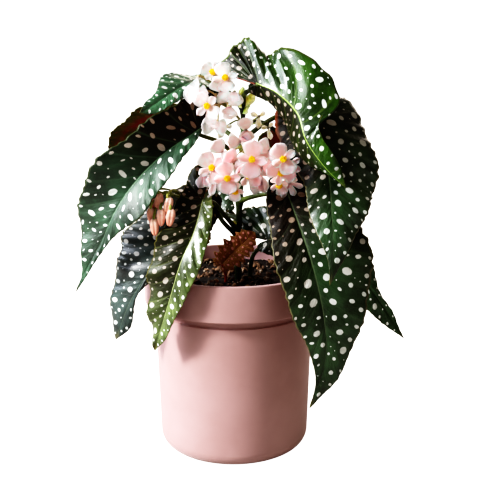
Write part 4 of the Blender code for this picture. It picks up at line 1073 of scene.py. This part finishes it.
class BegoniaSoil(bpy.types.PropertyGroup):
    level: length_setting("Level", "Height of the soil", 0.153)
    chips: IntProperty(name="Bark chips", description="Number of bark chips on the soil", default=420)
    grains: IntProperty(name="Perlite", description="Number of perlite grains", default=60)
    seed: IntProperty(name="Seed", description="Seed of the random places", default=7)


class BegoniaLeaves(bpy.types.PropertyGroup):
    thickness: length_setting("Thickness", "Thickness of a blade", 0.0006)
    rows: IntProperty(name="Rows", description="Rows of points round a leaf", default=181)
    columns: IntProperty(name="Columns", description="Columns from midrib to margin", default=22)
    veins: IntProperty(name="Veins", description="Lateral veins on each side", default=13)
    seed: IntProperty(name="Seed", description="Seed of the spots", default=11)
    spot: colour_setting("Spots", "Colour of the spots", "#dfe5e2")


class BegoniaFlowers(bpy.types.PropertyGroup):
    white: colour_setting("Pale petal", "Lightest petal colour", "#fff2ee")
    pink: colour_setting("Pink petal", "Flushed petal colour", "#ffa2a8")
    anther: colour_setting("Anthers", "Colour of the stamens", "#ffe11a")
    seed: IntProperty(name="Seed", description="Seed of the petals' small differences", default=23)


class BegoniaStage(bpy.types.PropertyGroup):
    key: FloatProperty(name="Key light", description="Strength of the light from the left", default=56.0)
    fill: FloatProperty(name="Fill light", description="Strength of the surrounding light", default=0.18)
    floor: length_setting("Floor size", "Half width of the floor", 6.0)


# Operators.

class BEGONIA_OT_pot(bpy.types.Operator):
    """Build the blush pot as one solid of revolution with rounded edges"""
    bl_idname = "begonia.pot"
    bl_label = "Pot"

    def execute(self, context):
        pot = context.scene.begonia_pot
        material = pot_material("Matte blush stoneware", (*pot.colour, 1), "#be9b9a")
        outline = pot_outline(*(value / MM for value in (
            pot.rim_radius, pot.height, pot.rim_bottom, pot.body_radius, pot.foot_radius)))
        place_mesh("pot", {0: [closed_grid(turned(outline, POT_SIDES))]}, [material])
        return {"FINISHED"}


def rounded(profile, radius, steps=5):
    """Return a profile with each corner replaced by points of a curve that starts and ends radius away."""
    profile = np.asarray(profile, float)
    points = [profile[:1]]
    for before, corner, after in zip(profile, profile[1:], profile[2:]):
        room = min(radius, 0.45 * np.linalg.norm(before - corner), 0.45 * np.linalg.norm(after - corner))
        start = corner + room * unit(before - corner)
        end = corner + room * unit(after - corner)
        t = np.linspace(0, 1, steps)[:, None]
        points.append((1 - t) ** 2 * start + 2 * t * (1 - t) * corner + t * t * end)
    return np.vstack(points + [profile[-1:]])


def pot_outline(rim, height, rim_low, body, foot):
    """Return points (r, z) of the pot: up the outside, over the rim and down the inside."""
    turn = np.radians(np.linspace(0, 90, 14))
    arc = np.stack([foot - FOOT_ROUND * (1 - np.sin(turn)), FOOT_ROUND * (1 - np.cos(turn))], -1)
    groove, inside = body - GROOVE_DEPTH, rim - RIM_WALL
    under, slope = rim_low - GROOVE_HEIGHT, foot - LOWER_WALL
    wall = [
        tuple(arc[-1]), (body, under), (groove, under), (groove, rim_low), (rim, rim_low), (rim, height),
        (inside, height), (inside, rim_low + 2 * RIM_SLOPE), (groove - RIM_SLOPE, rim_low - RIM_SLOPE),
        (slope, POT_FLOOR + FLOOR_SLOPE), (slope - FLOOR_SLOPE, POT_FLOOR), (0, POT_FLOOR)]
    profile = np.vstack([[(0, 0)], arc[:-1], rounded(wall, POT_EDGE)])
    pieces = [np.linspace(a, b, max(2, int(np.hypot(*(b - a)) / POT_STEP) + 1), endpoint=False)
              for a, b in zip(profile, profile[1:])]
    return np.vstack(pieces + [profile[-1:]])


class BEGONIA_OT_soil(bpy.types.Operator):
    """Build the crumbly soil with bark chips and perlite on it"""
    bl_idname = "begonia.soil"
    bl_label = "Soil"

    def execute(self, context):
        soil = context.scene.begonia_soil
        level = soil.level / MM
        earth = plain_material("Potting soil, moist", "#140d0a", "#241812", 6, 0.9, 1.5)
        bark = plain_material("Bark chips", "#2a1d16", "#86694f", 9, 0.8, 0.8)
        perlite = plain_material("Perlite", "#a99a86", "#cfc2b0", 3, 0.9, 0.6)
        place_mesh("soil", {0: [closed_grid(soil_grid(level))]}, [earth])
        random = np.random.default_rng(soil.seed)
        chips = scatter(random, soil.chips, 1.2, 4.2, 0.45, level)
        place_mesh("bark", {0: chips}, [bark], dresses=False)
        grains = scatter(random, soil.grains, 0.7, 1.7, 0.8, level + 0.8)
        place_mesh("perlite", {0: grains}, [perlite], dresses=False)
        return {"FINISHED"}


def soil_height(x, y, level):
    """Return the soil's height: level plus lumps of 9 and 3.5 mm."""
    at = np.stack([x, y], -1)
    return level + 1.3 * smooth_noise(at / 9 + 20, 3) + 0.7 * smooth_noise(at / 3.5 + 40, 4)


def soil_grid(level):
    """Return the soil's rings: a plug below, and above it r cos a, r sin a and the lumpy height."""
    top = [(radius, level) for radius in np.linspace(SOIL_RADIUS, 0, SOIL_RINGS)]
    grid = turned([*SOIL_PLUG, *top], SOIL_SIDES)
    upper = grid[len(SOIL_PLUG):]
    upper[..., 2] = soil_height(upper[..., 0], upper[..., 1], level)
    return grid


def scatter(random, count, small, large, flatness, level):
    """Return lumps set at random over the soil: balls pushed in and out by their own waves."""
    place = CHIP_REACH * np.sqrt(random.uniform(0.0, 1, count))
    turn = random.uniform(0, 2 * np.pi, count)
    x, y = place * np.cos(turn), place * np.sin(turn)
    sizes = random.uniform(small, large, count)
    centres = np.stack([x, y, soil_height(x, y, level) + 0.3 * sizes], -1)
    axes = random.normal(0, 0.45, (count, 3)) + (0, 0, 1)
    shapes = balls(centres, axes, np.stack([sizes, sizes * flatness], -1), 6, 7)
    stretch = random.uniform(0.55, 1.0, (count, 3))
    for shape, centre, size, scale in zip(shapes, centres, sizes, stretch):
        local = shape["points"] - centre
        waves = 1 + 0.22 * np.sin(local @ random.normal(0, 2.6 / size, 3) + random.uniform(0, 6))
        shape["points"] = centre + local * waves[:, None] * (scale[0], scale[1], 1.0)
    return shapes


class BEGONIA_OT_stems(bpy.types.Operator):
    """Build the cane, the petioles and the papery scales at the nodes"""
    bl_idname = "begonia.stems"
    bl_label = "Stems"

    def execute(self, context):
        thickness = context.scene.begonia_leaves.thickness / MM
        cane = stem_material("Green cane", "#1c2410", "#3c4a20", "#7d7a45")
        petiole = stem_material("Petiole", "#26300f", "#54602a", "#8f8a4c")
        scale = plain_material("Papery scale", "#9cc04a", "#d2ee86", 5, 0.5, 1.2, 0.6)

        def swell(path, share):
            away = (path[:, 2:] - CANE_NODE_HEIGHTS) / CANE_NODE_SPREAD
            return (CANE_NODE_SWELLING * np.exp(-away ** 2)).sum(1)

        stem = tube(CANE, CANE_RADII, 150, 20, swell=swell)
        petioles = {name: petiole_shape(name, thickness) for name in PETIOLES}
        lone = petioles.pop("leaf_low_right")
        scales = [scale_shape(*row) for row in STIPULES]
        groups = {0: [stem], 1: petioles.values(), 2: scales}
        place_mesh("cane", groups, [cane, petiole, scale])
        place_mesh("petiole_low_right", {0: [lone]}, [petiole])
        return {"FINISHED"}


def scale_shape(foot, tip, width):
    """Return a pointed papery scale, a narrow petal that is cupped round the stem."""
    foot, tip = np.array(foot, float), np.array(tip, float)
    along = unit(tip - foot)
    normal = unit((0, -1, 0.4) - np.dot((0, -1, 0.4), along) * along)
    length = np.linalg.norm(tip - foot)
    return petal_shape(foot, along, np.cross(normal, along), normal, length, width, cup=-0.12, curl=0.12,
                       phase=1.0, thickness=0.6, tone=(0.5, 0.5), peak=0.4)


class BEGONIA_OT_leaves(bpy.types.Operator):
    """Build the spotted leaves"""
    bl_idname = "begonia.leaves"
    bl_label = "Spotted leaves"

    def execute(self, context):
        look = context.scene.begonia_leaves
        under = underside_material("Wine underside", "#8f3221", "#5e5e28", "#a8654a")
        for k, (name, spec) in enumerate(LEAVES.items()):
            shape = leaf_shape(spec, look.thickness / MM, look.rows, look.columns, look.veins, look.seed + k)
            label = "Spotted blade, " + name.removeprefix("leaf_").replace("_", " ")
            blade = leaf_material(label, spec, LEAF_TONES[spec["tone"]], (*look.spot, 1), look.veins)
            place_mesh(name, {0: [shape]}, [blade, under])
        return {"FINISHED"}


class BEGONIA_OT_young_leaf(bpy.types.Operator):
    """Build the serrated young leaf with its red petiole"""
    bl_idname = "begonia.young_leaf"
    bl_label = "Young leaf"

    def execute(self, context):
        blade = leaf_material("Young blade, red", YOUNG_LEAF, YOUNG_TONES, "#f4bcae", YOUNG_VEINS)
        under = underside_material("Young underside", "#5a1a10", "#6a2a14", "#8c4a2c")
        red = stem_material("Red petiole", "#8c2a1a", "#b8482a", "#c9704a")
        shape = leaf_shape(
            YOUNG_LEAF, thickness=0.6, rows=161, columns=14, veins=YOUNG_VEINS, seed=5, spot_scale=0.42)
        stalk = tube(YOUNG_PETIOLE + [YOUNG_LEAF["rib"][0]], (1.5, 1.2), 50, 12)
        place_mesh("young_leaf", {0: [shape], 2: [stalk]}, [blade, under, red])
        return {"FINISHED"}


class BEGONIA_OT_flowers(bpy.types.Operator):
    """Build the two sprays of open flowers and their stamens"""
    bl_idname = "begonia.flowers"
    bl_label = "Flowers"

    def execute(self, context):
        look = context.scene.begonia_flowers
        petal = petal_material("Begonia petal", (*look.white, 1), (*look.pink, 1), "#f2807c")
        stalk = stem_material("Pedicel", "#8f9a55", "#c9b58a", "#d8a090")
        anther = plain_material("Anthers", (*look.anther, 1), "#f9b410", 1.5, 0.6, 0.4)
        for k, name in enumerate(("spray_upper", "spray_main")):
            stalks, petals = spray_shapes(name, look.seed + k)
            place_mesh(name, {0: petals, 1: stalks}, [petal, stalk])
        for rows in FLOWERS.values():
            for k, (name, kind, centre, facing, spin, _) in enumerate(rows):
                if kind == "open":
                    tuft = stamen_shapes(centre, facing, spin, k)
                    place_mesh("stamens_" + name, {0: tuft}, [anther])
        return {"FINISHED"}


class BEGONIA_OT_buds(bpy.types.Operator):
    """Build the hanging buds and the dried flowers"""
    bl_idname = "begonia.buds"
    bl_label = "Buds"

    def execute(self, context):
        seed = context.scene.begonia_flowers.seed + 9
        bud = bud_material("Closed bud", "#f2c8ba", "#e6a592", "#cf7a68")
        husk = plain_material("Dried petals", "#ecd09c", "#fdf3dc", 4, 0.7, 1.0, 1.0)
        stalk = stem_material("Green pedicel", "#6f7c34", "#a8b060", "#c4a070")
        sprays = (("spray_buds", "pink_petal", bud), ("spray_dried", "dried_petal", husk))
        for k, (name, slot_name, cover) in enumerate(sprays):
            stalks, heads = spray_shapes(name, seed + k)
            place_mesh(name, {0: heads, 1: stalks}, [cover, stalk])
        return {"FINISHED"}


class BEGONIA_OT_stage(bpy.types.Operator):
    """Set up the pale floor, the soft light and the camera"""
    bl_idname = "begonia.stage"
    bl_label = "Stage"

    def execute(self, context):
        stage = context.scene.begonia_stage
        add_floor(stage.floor)
        add_world(stage.fill)
        add_light("Key", (-1.9, -0.85, 1.4), stage.key, 0.35, "#fffaf5")
        add_light("Window", (-1.7, -0.62, 1.35), 52, 1.3, "#eef4ff")
        add_light("Rim", (-1.9, 0.6, 1.2), 26, 1.0, "#e8f0ff")
        add_light("Back", (0.9, 2.1, 1.1), 34, 2.0, "#fff2e6")
        add_light("Bounce", (1.5, -1.5, 0.9), 3, 1.5, "#f4fff0")
        camera = add_object("Camera", bpy.data.cameras.new("Camera"))
        camera.location = CAMERA_PLACE
        camera.rotation_euler = (math.pi / 2 - CAMERA_PITCH, 0, 0)
        camera.data.lens = CAMERA_LENS
        camera.data.sensor_width = CAMERA_SENSOR
        context.scene.camera = camera
        set_tone_curve(context.scene.view_settings)
        return {"FINISHED"}


def set_tone_curve(view):
    """Give the picture a print's contrast: shown(v) = (1 + c^2) v^2 / (v^2 + c^2) in each channel."""
    view.view_transform = "Standard"
    view.use_curve_mapping = True
    curve = view.curve_mapping.curves[3]
    for value in TONE_KNOTS:
        curve.points.new(value, (1 + TONE_BEND ** 2) * value ** 2 / (value ** 2 + TONE_BEND ** 2))
    view.curve_mapping.update()


def add_floor(half):
    """Add the floor, a bright matte sheet that fades its shadows."""
    material, add = new_material("White paper sweep")
    glow = add("times", add("seen directly"), WHITE_GLOW)
    finish_material(material, Base_Color=(0.4, 0.37, 0.34, 1), Roughness=1.0, Specular_IOR_Level=0.0,
                    Emission_Color=(1, 1, 1, 1), Emission_Strength=glow)
    mesh = bpy.data.meshes.new("Floor")
    corners = [(-half, -half, 0), (half, -half, 0), (half, half, 0), (-half, half, 0)]
    mesh.from_pydata(corners, [], [(0, 1, 2, 3)])
    mesh.materials.append(material)
    floor = add_object("Floor", mesh)


def add_world(fill):
    """Surround the scene with soft light; the camera itself sees plain white."""
    world = bpy.data.worlds.new("Studio")
    world.use_nodes = True
    world.node_tree.nodes.clear()
    add = partial(add_node, world.node_tree)
    soft = add("background", (1, 0.85, 0.68, 1), fill)
    white = add("background", (1, 1, 1, 1), WHITE_GLOW)
    add("surroundings", add("either", add("seen directly"), soft, white))
    bpy.context.scene.world = world


def add_light(name, place, power, size, code):
    """Add a square area light that faces the plant."""
    lamp = bpy.data.lights.new(name, "AREA")
    lamp.energy = power
    lamp.size = size
    lamp.color = hex_colour(code)
    item = add_object(name, lamp)
    item.location = place
    back = unit(np.subtract(place, LIGHT_TARGET))
    item.rotation_euler = (math.acos(back[2]), 0, math.atan2(back[1], back[0]) + math.pi / 2)


class BEGONIA_PT_panel(bpy.types.Panel):
    """Sizes, colours and build buttons"""
    bl_idname = "BEGONIA_PT_panel"
    bl_label = "Begonia"
    bl_space_type = "VIEW_3D"
    bl_region_type = "UI"
    bl_category = "Begonia"

    def draw(self, context):
        for title, _, steps in SECTIONS:
            box = self.layout.box()
            box.label(text=title)
            settings = getattr(context.scene, settings_name(title))
            for key in settings.__annotations__:
                box.prop(settings, key)
            for step in steps:
                box.operator(step.bl_idname)


# The panel's boxes, each with its settings and its operators, in the order of the build.
SECTIONS = (
    ("Pot", BegoniaPot, (BEGONIA_OT_pot,)),
    ("Soil", BegoniaSoil, (BEGONIA_OT_soil,)),
    ("Leaves", BegoniaLeaves, (BEGONIA_OT_stems, BEGONIA_OT_leaves, BEGONIA_OT_young_leaf)),
    ("Flowers", BegoniaFlowers, (BEGONIA_OT_flowers, BEGONIA_OT_buds)),
    ("Stage", BegoniaStage, (BEGONIA_OT_stage,)),
)


def settings_name(title):
    """Return the scene's name for the settings of a box."""
    return "begonia_" + title.lower()


def register():
    """Register the settings, the operators and the panel."""
    for title, group, steps in SECTIONS:
        for item in (group, *steps):
            bpy.utils.register_class(item)
        setattr(bpy.types.Scene, settings_name(title), PointerProperty(type=group))
    bpy.utils.register_class(BEGONIA_PT_panel)


def unregister():
    """Take back what register did."""
    bpy.utils.unregister_class(BEGONIA_PT_panel)
    for title, group, steps in reversed(SECTIONS):
        delattr(bpy.types.Scene, settings_name(title))
        for item in (*reversed(steps), group):
            bpy.utils.unregister_class(item)


def main():
    """Build every piece in order."""
    register()
    for _, _, steps in SECTIONS:
        for step in steps:
            getattr(bpy.ops.begonia, step.bl_idname.removeprefix("begonia."))()


if __name__ == "__main__":
    main()
